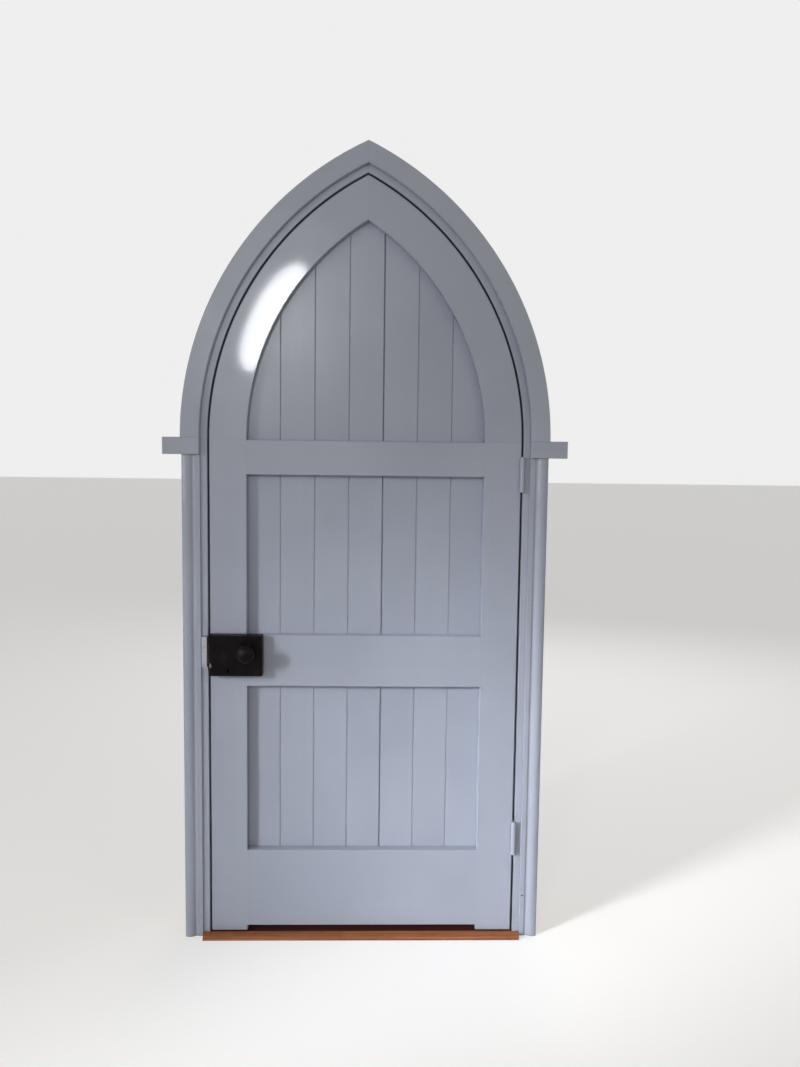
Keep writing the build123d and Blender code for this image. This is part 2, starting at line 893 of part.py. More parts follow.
for name, middle in zip(("lower", "upper"), hinge_centres):
    with BuildPart() as frame_flap:
        hinge_flap(middle, 1)
    save(frame_flap, f"{name}_hinge_frame_flap")

    with BuildPart() as leaf_flap:
        hinge_flap(middle, -1)
    save(leaf_flap, f"{name}_hinge_leaf_flap")

    with BuildPart() as hinge_pin:
        low = middle - hinge_height / 2
        high = middle + hinge_height / 2 - knuckle_gap / 2
        post(pin_radius, hinge_x, hinge_y, (low, high))
        post(pin_head_radius, hinge_x, hinge_y, (high, high + pin_head))
        fillet(hinge_pin.edges().group_by(Axis.Z)[-1], pin_head / 2)
    save(hinge_pin, f"{name}_hinge_pin")

for name, side in {"leaf_hinge_screws": -1, "frame_hinge_screws": 1}.items():
    with BuildPart() as hinge_screws:
        for middle in hinge_centres:
            for y, rise in hinge_screw_places:
                face = Plane(
                    (hinge_x + side * leaf_gap / 2, y, middle + rise),
                    x_dir=(0, 1, 0),
                    z_dir=(-side, 0, 0),
                )
                wood_screw(hinge_screw_radius, hinge_screw_head_radius, hinge_screw_length, face)
    save(hinge_screws, name)

# The keep on the left jamb: a box open towards the lock, with a flange let into the jamb
keep_left = -jamb_face - keep_width
with BuildPart() as lock_keep:
    block((keep_left, -jamb_face), (-keep_depth, 0), (keep_bottom, keep_top))
    fillet(lock_keep.edges().filter_by(Axis.Z).group_by(Axis.Y)[0].sort_by(Axis.X)[0], keep_wall)
    block(
        (keep_left + keep_wall, -jamb_face),
        (-keep_depth + keep_wall, 0),
        (keep_bottom + keep_wall, keep_top - keep_wall),
        mode=Mode.SUBTRACT,
    )
    block(
        (-jamb_face - keep_flange_thickness, -jamb_face),
        (0, keep_flange_depth),
        (keep_bottom, keep_top),
    )
    for z in keep_screw_heights:
        ends = (-jamb_face - keep_flange_thickness, -jamb_face)
        cross_rod(hinge_screw_radius, keep_screw_y, z, ends, mode=Mode.SUBTRACT)
        face = Plane((-jamb_face, keep_screw_y, z), x_dir=(0, 1, 0), z_dir=(1, 0, 0))
        countersink(hinge_screw_radius, hinge_screw_head_radius, face)
save(lock_keep, "lock_keep")

with BuildPart() as keep_screws:
    for z in keep_screw_heights:
        face = Plane((-jamb_face, keep_screw_y, z), x_dir=(0, 1, 0), z_dir=(1, 0, 0))
        wood_screw(hinge_screw_radius, hinge_screw_head_radius, hinge_screw_length, face)
save(keep_screws, "keep_screws")

# The lock: heights and depths shared by the case and the parts that move in it
lock_front = -lock_depth
lock_inside = lock_front + lock_wall
inner_left = -lock_left + lock_wall
inner_right = -lock_right - lock_wall
tail_span = (-tail_front, -tail_front + tail_thickness)
dead_bolt_top = dead_bolt_bottom + dead_bolt_height
dead_bolt_middle = (dead_bolt_bottom + dead_bolt_top) / 2
horn_radius = latch_travel / 2 / sin(radians(horn_swing / 2))
fork_low = knob_z - horn_radius - horn_tip_radius - fork_gap
fork_high = knob_z + horn_radius + horn_tip_radius + fork_gap
hook_x = knob_x + latch_travel / 2 + horn_tip_radius + bolt_clearance
bolts_left = -lock_left - bolt_proud
latch_head_span = (-latch_head_front, -latch_head_front + latch_head_thickness)
dead_bolt_head_span = (-dead_bolt_head_front, -dead_bolt_head_front + dead_bolt_head_thickness)
spring_z = fork_low - fork_lower_bar / 2
spring_y = -tail_front + tail_thickness / 2
spring_start = hook_x + hook_width
bow_foot_z = dead_bolt_bottom - bolt_clearance - bow_spring_thickness / 2 - bow_spring_rise
bow_middle_x = stump_x + bow_spring_span / 2
bow_feet = (bow_middle_x - bow_spring_span / 2, bow_middle_x + bow_spring_span / 2)


def bolt_slot(y_span, z_span):
    """Cut a bolt's slot through the case's edge, with clearance all round."""
    block(
        (-lock_left, inner_left),
        (y_span[0] - bolt_clearance, y_span[1] + bolt_clearance),
        (z_span[0] - bolt_clearance, z_span[1] + bolt_clearance),
        mode=Mode.SUBTRACT,
    )


# The lock: its case, open at the back
with BuildPart() as lock_case:
    block((-lock_left, -lock_right), (lock_front, 0), (lock_bottom, lock_top))
    fillet(lock_case.faces().sort_by(Axis.Y)[0].edges(), lock_edge_round)
    rod(boss_radius, knob_x, knob_z, (lock_front - boss_height, lock_inside))
    fillet(lock_case.faces().sort_by(Axis.Y)[0].edges(), boss_height / 3)
    block(
        (inner_left, inner_right),
        (lock_inside, 0),
        (lock_bottom + lock_wall, lock_top - lock_wall),
        mode=Mode.SUBTRACT,
    )
    bearing = (lock_front - boss_height, lock_inside)
    rod(knob_neck_radius + fit, knob_x, knob_z, bearing, mode=Mode.SUBTRACT)
    rod(keyhole_radius, keyhole_x, keyhole_z, (lock_front, lock_inside), mode=Mode.SUBTRACT)
    block(
        (keyhole_x - keyhole_slot_width / 2, keyhole_x + keyhole_slot_width / 2),
        (lock_front, lock_inside),
        (keyhole_z - keyhole_slot_length, keyhole_z),
        mode=Mode.SUBTRACT,
    )
    bolt_slot(latch_head_span, (latch_head_bottom, latch_head_bottom + latch_head_height))
    bolt_slot(dead_bolt_head_span, (dead_bolt_bottom, dead_bolt_top))
    lock_screw_holes((lock_front, lock_inside))
save(lock_case, "lock_case")

# The lock: its back plate, with the stump that guides the dead bolt and the bow spring's posts
with BuildPart() as lock_plate:
    block(
        (inner_left + lock_plate_gap, inner_right - lock_plate_gap),
        (-lock_plate_thickness, 0),
        (lock_bottom + lock_wall + lock_plate_gap, lock_top - lock_wall - lock_plate_gap),
    )
    rod(stump_radius, stump_x, dead_bolt_middle, (lock_inside, 0))
    for x in bow_feet:
        rod(bow_post_radius, x, bow_foot_z - bow_post_drop, (tail_span[0], 0))
    rod(follower_journal_radius + fit, knob_x, knob_z, (-lock_plate_thickness, 0), mode=Mode.SUBTRACT)
    key_way((-lock_plate_thickness, 0))
    lock_screw_holes((-lock_plate_thickness, 0))
save(lock_plate, "lock_plate")

with BuildPart() as lock_screws:
    for x, z in lock_screw_places:
        rod(lock_screw_radius, x, z, (lock_front, lock_screw_reach))
        rod(lock_screw_head_radius, x, z, (lock_front - lock_screw_head, lock_front))
    fillet(lock_screws.edges().group_by(Axis.Y)[0], lock_screw_head / 2)
save(lock_screws, "lock_screws")

# The lock: the latch, drawn back, with a fork that the follower's two horns pull
with BuildPart() as latch_bolt:
    head_right = bolts_left + latch_head_length
    web_left = head_right - latch_web_width
    head_heights = (latch_head_bottom, latch_head_bottom + latch_head_height)
    block((bolts_left, head_right), latch_head_span, head_heights)
    chamfer(
        latch_bolt.edges().filter_by(Axis.Z).group_by(Axis.Y)[-1].sort_by(Axis.X)[0],
        latch_bevel,
    )
    block((web_left, head_right), tail_span, (fork_low - fork_lower_bar, fork_high + fork_outer_bar))
    block((web_left, spring_start), tail_span, (fork_high, fork_high + fork_outer_bar))
    block((web_left, spring_start), tail_span, (fork_low - fork_lower_bar, fork_low))
    hook_end = horn_radius * cos(radians(horn_swing / 2)) - hook_reach
    block((hook_x, spring_start), tail_span, (knob_z + hook_end, fork_high))
    block((hook_x, spring_start), tail_span, (fork_low, knob_z - hook_end))
    guide = (spring_start, spring_start + spring_guide_length)
    cross_rod(spring_guide_radius, spring_y, spring_z, guide)
save(latch_bolt, "latch_bolt")

# The lock: the latch spring, closed up because the latch is drawn back
with BuildPart() as latch_spring:
    length = inner_right - spring_start - 2 * spring_wire_radius
    coil_start = (spring_start + spring_wire_radius, spring_y, spring_z)
    with BuildLine():
        coil = Helix(
            length / spring_turns,
            length,
            spring_radius,
            center=coil_start,
            direction=(1, 0, 0),
        )
    with BuildSketch(Plane(origin=coil @ 0, z_dir=coil % 0)):
        Circle(spring_wire_radius)
    sweep(path=coil, is_frenet=True)
save(latch_spring, "latch_spring")

# The lock: the dead bolt, drawn back
with BuildPart() as dead_bolt:
    heights = (dead_bolt_bottom, dead_bolt_top)
    block((bolts_left, bolts_left + dead_bolt_head_length), dead_bolt_head_span, heights)
    block((bolts_left, bolts_left + dead_bolt_length), tail_span, heights)
    slot_half = stump_radius + bolt_clearance
    with BuildSketch(upright(tail_span[1])):
        with Locations((stump_x + dead_bolt_travel / 2, dead_bolt_middle)):
            SlotOverall(dead_bolt_travel + 2 * slot_half, 2 * slot_half)
    extrude(amount=tail_thickness, mode=Mode.SUBTRACT)
    block(
        (keyhole_x - talon_width / 2, keyhole_x + talon_width / 2),
        tail_span,
        (dead_bolt_bottom, dead_bolt_bottom + talon_depth),
        mode=Mode.SUBTRACT,
    )
save(dead_bolt, "dead_bolt")

# The lock: a bow spring that holds the dead bolt where the key leaves it
with BuildPart() as bow_spring:
    with BuildSketch(upright(tail_span[0] + bow_spring_width)):
        with BuildLine():
            ThreePointArc(
                (bow_feet[0], bow_foot_z),
                (bow_middle_x, bow_foot_z + bow_spring_rise),
                (bow_feet[1], bow_foot_z),
            )
        trace(line_width=bow_spring_thickness)
    extrude(amount=bow_spring_width)
save(bow_spring, "bow_spring")

# What turns: the follower with its two horns, the square spindle and a knob on each side
released = (90 + horn_swing / 2, 270 - horn_swing / 2)
follower_front = lock_inside + bolt_clearance
follower_back = -lock_plate_thickness - bolt_clearance
with BuildPart() as follower:
    rod(follower_radius, knob_x, knob_z, (follower_front, follower_back))
    rod(follower_journal_radius, knob_x, knob_z, (follower_back, 0))
    with BuildSketch(upright(tail_span[1])):
        for angle in released:
            turned = angle - horn_swing
            arm = Location((knob_x, knob_z), turned)
            with Locations(arm):
                Rectangle(horn_radius, horn_arm_width, align=(Align.MIN, Align.CENTER))
                with Locations((horn_radius, 0)):
                    Circle(horn_tip_radius)
    extrude(amount=tail_thickness)
    hole = spindle_side / 2 + fit
    block(
        (knob_x - hole, knob_x + hole),
        (lock_inside, 0),
        (knob_z - hole, knob_z + hole),
        mode=Mode.SUBTRACT,
    )
save(follower, "follower")

knob_faces = {
    "inner_knob": (lock_front - boss_height, -1, boss_height + lock_wall),
    "outer_knob": (leaf_thickness + plate_thickness, 1, plate_thickness),
}
spindle_reach = knob_stand - knob_half_depth / 2
spindle_ends = (
    lock_front - boss_height - spindle_reach,
    leaf_thickness + plate_thickness + spindle_reach,
)
pin_places = [face + out * knob_pin_stand for face, out, _ in knob_faces.values()]
pin_way = (knob_z - knob_collar_radius, knob_z + knob_collar_radius)
pin_half = knob_neck_radius - knob_pin_sunk

with BuildPart() as spindle:
    half = spindle_side / 2
    block((knob_x - half, knob_x + half), spindle_ends, (knob_z - half, knob_z + half))
    for y in pin_places:
        post(knob_pin_radius, knob_x, y, pin_way, mode=Mode.SUBTRACT)
save(spindle, "spindle")

for name, (face, out, neck) in knob_faces.items():
    with BuildPart() as knob:
        turning = Plane((knob_x, face, knob_z), x_dir=(-out, 0, 0), z_dir=(0, 0, 1))
        with BuildSketch(turning):
            outline = [
                (0, neck),
                (knob_neck_radius, neck),
                (knob_neck_radius, -knob_collar_gap),
                (knob_collar_radius, -knob_collar_gap),
                (knob_collar_radius, -knob_collar_gap - knob_collar_thickness),
                (knob_neck_radius, -knob_collar_gap - 2 * knob_collar_thickness),
                (knob_neck_radius, -knob_pin_stand - knob_collar_thickness),
                (knob_waist_radius, knob_half_depth - knob_stand),
                (knob_waist_radius, -knob_stand),
                (0, -knob_stand),
            ]
            with BuildLine():
                Polyline(*outline, close=True)
            make_face()
        revolve(axis=Axis((knob_x, face, knob_z), (0, -out, 0)))
        with BuildSketch(turning):
            with Locations((0, -knob_stand)):
                Ellipse(knob_radius, knob_half_depth)
            with Locations((knob_radius, -knob_stand)):
                Rectangle(2 * knob_radius, 2 * knob_half_depth, mode=Mode.INTERSECT)
        revolve(axis=Axis((knob_x, face, knob_z), (0, -out, 0)))
        hole = spindle_side / 2 + fit
        block(
            (knob_x - hole, knob_x + hole),
            (face - out * neck, face + out * (spindle_reach + fit)),
            (knob_z - hole, knob_z + hole),
            mode=Mode.SUBTRACT,
        )
        post(knob_pin_radius, knob_x, face + out * knob_pin_stand, pin_way, mode=Mode.SUBTRACT)
    save(knob, name)

with BuildPart() as knob_pins:
    for y in pin_places:
        post(knob_pin_radius, knob_x, y, (knob_z - pin_half, knob_z + pin_half))
save(knob_pins, "knob_pins")

# Outside: a round rose behind the knob and a plate around the keyhole
plate_span = (leaf_thickness, leaf_thickness + plate_thickness)


def plate_fixings(places):
    """Cut the screws' holes through an outside plate and countersink them."""
    for x, z in places:
        rod(plate_screw_radius, x, z, plate_span, mode=Mode.SUBTRACT)
        face = Plane((x, plate_span[1], z), x_dir=(1, 0, 0), z_dir=(0, 1, 0))
        countersink(plate_screw_radius, plate_screw_head_radius, face)


with BuildPart() as outer_rose:
    rod(rose_radius, knob_x, knob_z, plate_span)
    fillet(outer_rose.edges().group_by(Axis.Y)[-1], plate_thickness / 3)
    rod(knob_neck_radius + fit, knob_x, knob_z, plate_span, mode=Mode.SUBTRACT)
    plate_fixings(rose_screw_places)
save(outer_rose, "outer_rose")

with BuildPart() as outer_keyplate:
    with BuildSketch(upright(plate_span[1])):
        with Locations((keyhole_x, keyhole_z)):
            SlotOverall(keyplate_height, keyplate_width, rotation=90)
    extrude(amount=plate_thickness)
    fillet(outer_keyplate.edges().group_by(Axis.Y)[-1], plate_thickness / 3)
    rod(keyhole_radius, keyhole_x, keyhole_z, plate_span, mode=Mode.SUBTRACT)
    block(
        (keyhole_x - keyhole_slot_width / 2, keyhole_x + keyhole_slot_width / 2),
        plate_span,
        (keyhole_z - keyhole_slot_length, keyhole_z),
        mode=Mode.SUBTRACT,
    )
    plate_fixings(keyplate_screw_places)
save(outer_keyplate, "outer_keyplate")

with BuildPart() as plate_screws:
    for x, z in plate_screw_places:
        face = Plane((x, plate_span[1], z), x_dir=(1, 0, 0), z_dir=(0, 1, 0))
        length = plate_screw_length + plate_thickness
        wood_screw(plate_screw_radius, plate_screw_head_radius, length, face)
save(plate_screws, "plate_screws")
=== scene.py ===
"""A pointed-arch framed and boarded door in its frame, dressed for a studio picture.

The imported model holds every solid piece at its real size. This script gives the pieces their
paint, iron, steel and wood, makes the heads of the screws and nails, and lights the door.
Lengths are metres in the model's own frame: +X to the right, +Y into the wall and +Z up.
"""

import logging
import math
from dataclasses import dataclass
from enum import Enum
from functools import cache
from typing import Any

import bmesh
import bpy
from mathutils import Euler, Matrix, Vector


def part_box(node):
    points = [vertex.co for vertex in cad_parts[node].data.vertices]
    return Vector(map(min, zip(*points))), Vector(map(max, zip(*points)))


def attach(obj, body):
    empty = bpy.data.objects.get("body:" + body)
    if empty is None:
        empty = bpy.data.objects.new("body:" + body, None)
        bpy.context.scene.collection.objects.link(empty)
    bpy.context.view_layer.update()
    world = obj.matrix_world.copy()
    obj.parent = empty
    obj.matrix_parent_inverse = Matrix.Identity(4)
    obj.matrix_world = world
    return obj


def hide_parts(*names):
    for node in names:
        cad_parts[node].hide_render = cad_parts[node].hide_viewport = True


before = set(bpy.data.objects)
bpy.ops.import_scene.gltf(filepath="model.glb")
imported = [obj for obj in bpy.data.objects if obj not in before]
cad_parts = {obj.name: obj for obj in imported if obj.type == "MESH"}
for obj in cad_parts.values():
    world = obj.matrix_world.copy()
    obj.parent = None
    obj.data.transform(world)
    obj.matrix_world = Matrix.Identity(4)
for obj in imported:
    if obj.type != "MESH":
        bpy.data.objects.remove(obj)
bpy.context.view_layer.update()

log = logging.getLogger("door")

Socket = bpy.types.NodeSocket
Colour = tuple[float, float, float]
ORIGIN = (0.0, 0.0, 0.0)
# How far the grain may be moved from one piece to the next.
PIECE_SHIFT = 17.0
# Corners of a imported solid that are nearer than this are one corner.
WELD_DISTANCE = 1e-6
# How finely the turned shapes are made.
SHANK_SIDES = 16
ROUND_SIDES = 32
DOME_RINGS = 24
BEAD_SIDES = 10
# Cut nails have few sides and a top that is narrower than the head.
NAIL_SIDES = 9
NAIL_TOP_SHARE = 0.72
# A cube that is larger than any head, for cutting a ball in half.
CUTTING_BLOCK = 0.1
WARM_WHITE = (1.0, 0.98, 0.95)
# The place on the left curved rail that the two glow lamps face.
GLOW_AIM = (-0.23, 0.0, 1.645)


def srgb(red: int, green: int, blue: int) -> Colour:
    """Turn a colour as a screen shows it into the values that a shader takes.

    Args:
        red: Red from 0 to 255.
        green: Green from 0 to 255.
        blue: Blue from 0 to 255.

    Returns:
        The three linear values.
    """
    def linear(value: float) -> float:
        """Undo the screen's curve for one channel."""
        return value / 12.92 if value <= 0.04045 else ((value + 0.055) / 1.055) ** 2.4

    return (linear(red / 255), linear(green / 255), linear(blue / 255))


class Graph:
    """A node tree, with short ways to add its nodes and join them."""

    def __init__(self, tree: bpy.types.NodeTree, material: bpy.types.Material | None = None) -> None:
        """Take hold of a tree.

        Args:
            tree: The shader or geometry tree to work on.
            material: The material that the tree belongs to, if it has one.
        """
        self.tree = tree
        self.material = material

    def feed(self, socket: Socket, value: Any) -> None:
        """Set an input, or join a socket to it.

        Args:
            socket: The input.
            value: A plain value or a socket.
        """
        if isinstance(value, Socket):
            self.tree.links.new(value, socket)
        else:
            socket.default_value = value

    def add(self, kind: str, inputs: dict[str | int, Any] | None = None, **settings: Any) -> bpy.types.Node:
        """Add a node, set it and join what comes in.

        Args:
            kind: The node's type name.
            inputs: Values or sockets, by input name or number.
            **settings: The node's own properties.

        Returns:
            The new node.
        """
        node = self.tree.nodes.new(kind)
        for name, value in settings.items():
            setattr(node, name, value)
        for key, value in (inputs or {}).items():
            self.feed(node.inputs[key], value)
        return node

    def math(self, operation: str, *values: Any) -> Socket:
        """Work out one number from others.

        Args:
            operation: The name of the sum, such as MULTIPLY.
            *values: Numbers or sockets.

        Returns:
            The socket that holds the result.
        """
        return self.add("ShaderNodeMath", dict(enumerate(values)), operation=operation).outputs[0]

    def vector_math(self, operation: str, *values: Any) -> Socket:
        """Work out one vector from others.

        Args:
            operation: The name of the sum, such as DIVIDE.
            *values: Vectors or sockets.

        Returns:
            The socket that holds the result.
        """
        return self.add("ShaderNodeVectorMath", dict(enumerate(values)), operation=operation).outputs[0]

    def blend(self, share: Any, first: Any, second: Any) -> Socket:
        """Mix two colours.

        Args:
            share: How much of the second colour there is, from 0 to 1.
            first: A colour or a socket.
            second: A colour or a socket.

        Returns:
            The mixed colour.
        """
        first, second = ((*c, 1.0) if isinstance(c, tuple) and len(c) == 3 else c for c in (first, second))
        return self.add("ShaderNodeMix", {0: share, 6: first, 7: second}, data_type="RGBA").outputs[2]

    def spread(self, value: Any, low: float, high: float, start: float = 0.0, end: float = 1.0) -> Socket:
        """Map a value from one range to another and hold it there.

        Args:
            value: The number or socket to map.
            low: The value that becomes the start.
            high: The value that becomes the end.
            start: What low becomes.
            end: What high becomes.

        Returns:
            The mapped value.
        """
        return self.add("ShaderNodeMapRange", {0: value, 1: low, 2: high, 3: start, 4: end}).outputs[0]

    def part(self, vector: Socket, axis: int) -> Socket:
        """Take one number out of a vector.

        Args:
            vector: The vector.
            axis: 0, 1 or 2.

        Returns:
            That number.
        """
        return self.add("ShaderNodeSeparateXYZ", {0: vector}).outputs[axis]

    def noise(self, vector: Socket, scale: Any, detail: float = 2.0, roughness: float = 0.5) -> Socket:
        """Add a cloud of noise.

        Args:
            vector: Where it is read.
            scale: How many clouds there are to a metre, a number or a socket.
            detail: How many finer layers it has.
            roughness: How strong the finer layers are.

        Returns:
            Its value, about 0.5 on average.
        """
        inputs = {"Vector": vector, "Scale": scale, "Detail": detail, "Roughness": roughness}
        return self.add("ShaderNodeTexNoise", inputs).outputs[0]

    def bump(self, height: Socket, depth: float, normal: Socket | None = None) -> Socket:
        """Raise the surface by a height pattern.

        Args:
            height: The pattern, from 0 to 1.
            depth: How deep it is, in metres.
            normal: The normal of the layer below, if there is one.

        Returns:
            The new normal.
        """
        inputs: dict[str | int, Any] = {"Strength": 1.0, "Distance": depth, "Height": height}
        if normal is not None:
            inputs["Normal"] = normal
        return self.add("ShaderNodeBump", inputs).outputs[0]


def shader_group(name: str, **inputs: Any) -> tuple[Graph, Any]:
    """Start a shader node group.

    Args:
        name: The group's name.
        **inputs: Each input's default, one number or three; underscores stand for spaces.

    Returns:
        The group's graph and its inputs.
    """
    tree = bpy.data.node_groups.new(name, "ShaderNodeTree")
    for label, value in inputs.items():
        kind = "NodeSocketVector" if isinstance(value, tuple) else "NodeSocketFloat"
        socket = tree.interface.new_socket(label.replace("_", " "), in_out="INPUT", socket_type=kind)
        socket.default_value = value
    return Graph(tree), tree.nodes.new("NodeGroupInput").outputs


def finished(graph: Graph, **outputs: Socket) -> bpy.types.NodeTree:
    """Give a shader node group its outputs.

    Args:
        graph: The group's graph.
        **outputs: What comes out, each a vector or a number.

    Returns:
        The group.
    """
    for label, socket in outputs.items():
        kind = "NodeSocketVector" if socket.type == "VECTOR" else "NodeSocketFloat"
        graph.tree.interface.new_socket(label, in_out="OUTPUT", socket_type=kind)
    graph.add("NodeGroupOutput", dict(enumerate(outputs.values())))
    return graph.tree


@cache
def arc_run_group() -> bpy.types.NodeTree:
    """Build the group that bends a straight pattern round an arc.

    Returns:
        A group from a point to its place across, into and along the arc.
    """
    graph, entry = shader_group("arc_run", Vector=ORIGIN, Centre_X=0.0, Centre_Z=0.0, Mean_Radius=1.0)
    parts = graph.add("ShaderNodeSeparateXYZ", {0: entry["Vector"]})
    across = graph.math("SUBTRACT", parts.outputs[0], entry["Centre X"])
    rise = graph.math("SUBTRACT", parts.outputs[2], entry["Centre Z"])
    squares = graph.math("ADD", graph.math("MULTIPLY", across, across), graph.math("MULTIPLY", rise, rise))
    radius = graph.math("SQRT", squares)
    angle = graph.math("ARCTAN2", rise, graph.math("ABSOLUTE", across))
    along = graph.math("MULTIPLY", angle, entry["Mean Radius"])
    whole = graph.add("ShaderNodeCombineXYZ", {0: radius, 1: parts.outputs[1], 2: along})
    return finished(graph, Vector=whole.outputs[0])


@cache
def brush_strokes_group() -> bpy.types.NodeTree:
    """Build the group of the marks that a brush leaves in paint.

    Returns:
        A group with the height of the strokes and how streaky they are.
    """
    graph, entry = shader_group("brush_strokes", Vector=ORIGIN, Stroke_Width=0.003, Stroke_Length=0.2)
    width, length = entry["Stroke Width"], entry["Stroke Length"]
    size = graph.add("ShaderNodeCombineXYZ", {0: width, 1: width, 2: length})
    fine = graph.vector_math("DIVIDE", entry["Vector"], size.outputs[0])
    bristles = graph.noise(fine, 1.0, 3.0, 0.65)
    laps = graph.noise(fine, 0.17, 1.0)
    height = graph.math("ADD", graph.math("MULTIPLY", bristles, 0.7), graph.math("MULTIPLY", laps, 0.3))
    return finished(graph, Height=height, Streak=graph.spread(laps, 0.35, 0.65))


@cache
def edge_rub_group() -> bpy.types.NodeTree:
    """Build the group that finds corners and breaks them up as wear does.

    Returns:
        A group with a mask that is 1 where a corner is rubbed.
    """
    graph, entry = shader_group("edge_rub", Vector=ORIGIN, Reach=0.0015, Patchiness=60.0, Amount=0.5)
    rounded = graph.add("ShaderNodeBevel", {"Radius": entry["Reach"]}, samples=4)
    flat = graph.add("ShaderNodeNewGeometry")
    match = graph.add(
        "ShaderNodeVectorMath", {0: rounded.outputs[0], 1: flat.outputs["Normal"]}, operation="DOT_PRODUCT"
    )
    corner = graph.spread(match.outputs["Value"], 0.995, 0.88)
    patches = graph.noise(entry["Vector"], entry["Patchiness"], 4.0)
    gate = graph.math("SUBTRACT", 1.0, entry["Amount"])
    share = graph.math("MULTIPLY", graph.math("SUBTRACT", patches, gate), 6.0)
    mask = graph.add("ShaderNodeClamp", {0: graph.math("MULTIPLY", corner, share)})
    return finished(graph, Mask=mask.outputs[0])


@cache
def crevice_shade_and_grime_group() -> bpy.types.NodeTree:
    """Build the group that darkens grooves and corners with painted shade and grime, and the foot with grime
    near the floor.

    Returns:
        A group with a mask that is 1 where painted shade and grime darken the surface.
    """
    graph, entry = shader_group("crevice_shade_and_grime", Vector=ORIGIN, Reach=0.012, Fade=0.25, Floor_Dirt=0.3)
    # Ambient occlusion finds the grooves and corners where shade falls: the darkening there is painted shade,
    # broken up by a cloud like grime.
    shade = graph.add("ShaderNodeAmbientOcclusion", {"Distance": entry["Reach"]}, samples=4)
    tight = graph.spread(shade.outputs["AO"], 0.75, 0.25)
    cloud = graph.noise(entry["Vector"], 35.0, 4.0, 0.6)
    groove = graph.math("MULTIPLY", tight, graph.spread(cloud, 0.3, 0.7, 0.6, 1.0))
    above = graph.math("DIVIDE", graph.part(entry["Vector"], 2), entry["Fade"])
    near = graph.math("MULTIPLY", graph.spread(above, 0.0, 1.0, 1.0, 0.0), graph.spread(cloud, 0.35, 0.75))
    low = graph.math("MULTIPLY", near, entry["Floor Dirt"])
    mask = graph.add("ShaderNodeClamp", {0: graph.math("ADD", groove, low)})
    return finished(graph, Mask=mask.outputs[0])


@cache
def wood_figure_group() -> bpy.types.NodeTree:
    """Build the group of the grain of sawn wood, running along the third axis.

    Returns:
        A group with how dark the grain is and how high it stands.
    """
    graph, entry = shader_group("wood_figure", Vector=ORIGIN, Ring_Width=0.006, Run_Length=0.3)
    ring, run = entry["Ring Width"], entry["Run Length"]
    size = graph.add("ShaderNodeCombineXYZ", {0: ring, 1: ring, 2: run})
    stretched = graph.vector_math("DIVIDE", entry["Vector"], size.outputs[0])
    bands = graph.add(
        "ShaderNodeTexNoise", {"Vector": stretched, "Scale": 0.8, "Detail": 3.0, "Distortion": 0.6}
    )
    dark = graph.spread(bands.outputs[0], 0.35, 0.7)
    pores = graph.noise(stretched, 7.0, 2.0)
    height = graph.math("SUBTRACT", graph.math("MULTIPLY", dark, 0.6), graph.math("MULTIPLY", pores, 0.4))
    return finished(graph, Dark=dark, Height=height)


@cache
def hand_rub_group() -> bpy.types.NodeTree:
    """Build the group of a patch that hands or a bolt have rubbed, round one place.

    Returns:
        A group with a mask that is 1 at the middle of the patch.
    """
    graph, entry = shader_group(
        "hand_rub", Vector=ORIGIN, Place=ORIGIN, Size=(0.01, 0.01, 0.01), Break_Up=0.35
    )
    offset = graph.vector_math("SUBTRACT", entry["Vector"], entry["Place"])
    scaled = graph.vector_math("DIVIDE", offset, entry["Size"])
    distance = graph.add("ShaderNodeVectorMath", {0: scaled}, operation="LENGTH").outputs["Value"]
    cloud = graph.noise(scaled, 2.2, 3.0, 0.6)
    rough = graph.math("MULTIPLY", graph.math("SUBTRACT", cloud, 0.5), entry["Break Up"])
    near = graph.math("ADD", distance, graph.math("MULTIPLY", rough, 4.0))
    return finished(graph, Mask=graph.spread(near, 0.55, 1.0, 1.0, 0.0))


class Run(Enum):
    """The way that the grain, and so the brush, runs along a piece."""

    UPRIGHT = "upright"
    LEVEL = "level"
    ARC = "arc"

    def vector(self, graph: Graph, point: Socket, arch: "Arch") -> Socket:
        """Turn a point into its place across, into and along the piece.

        Args:
            graph: The material's graph.
            point: The point on the piece.
            arch: The arch that curved pieces follow.

        Returns:
            The turned point, moved a little way for each piece so that no two are alike.
        """
        if self is Run.ARC:
            turned = arch.bend(graph, point)
        elif self is Run.LEVEL:
            parts = graph.add("ShaderNodeSeparateXYZ", {0: point}).outputs
            turned = graph.add("ShaderNodeCombineXYZ", {0: parts[2], 1: parts[1], 2: parts[0]}).outputs[0]
        else:
            turned = point
        own = graph.add("ShaderNodeObjectInfo").outputs["Random"]
        return graph.vector_math("ADD", turned, graph.math("MULTIPLY", own, PIECE_SHIFT))


@dataclass(frozen=True)
class Arch:
    """The two arcs of the pointed arch, read from the frame."""

    offset: float
    spring: float
    leaf_radius: float

    @classmethod
    def from_frame(cls) -> "Arch":
        """Work the arch out from the leaf's stiles and curved rails.

        Returns:
            The arch of the leaf.
        """
        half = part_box("hinge_stile")[1].x
        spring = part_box("hinge_stile")[1].z
        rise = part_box("right_arch_rail")[1].z - spring
        offset = (rise**2 - half**2) / (2 * half)
        return cls(offset, spring, half + offset)

    def bend(self, graph: Graph, point: Socket) -> Socket:
        """Turn a point into its place across, into and along the arc on its side.

        Args:
            graph: The material's graph.
            point: The point on the piece.

        Returns:
            The turned point.
        """
        side = graph.math("SIGN", graph.part(point, 0))
        centre = graph.math("MULTIPLY", side, -self.offset)
        around = placed(
            graph,
            arc_run_group(),
            Vector=point,
            Centre_X=centre,
            Centre_Z=self.spring,
            Mean_Radius=self.leaf_radius,
        )
        return around["Vector"]


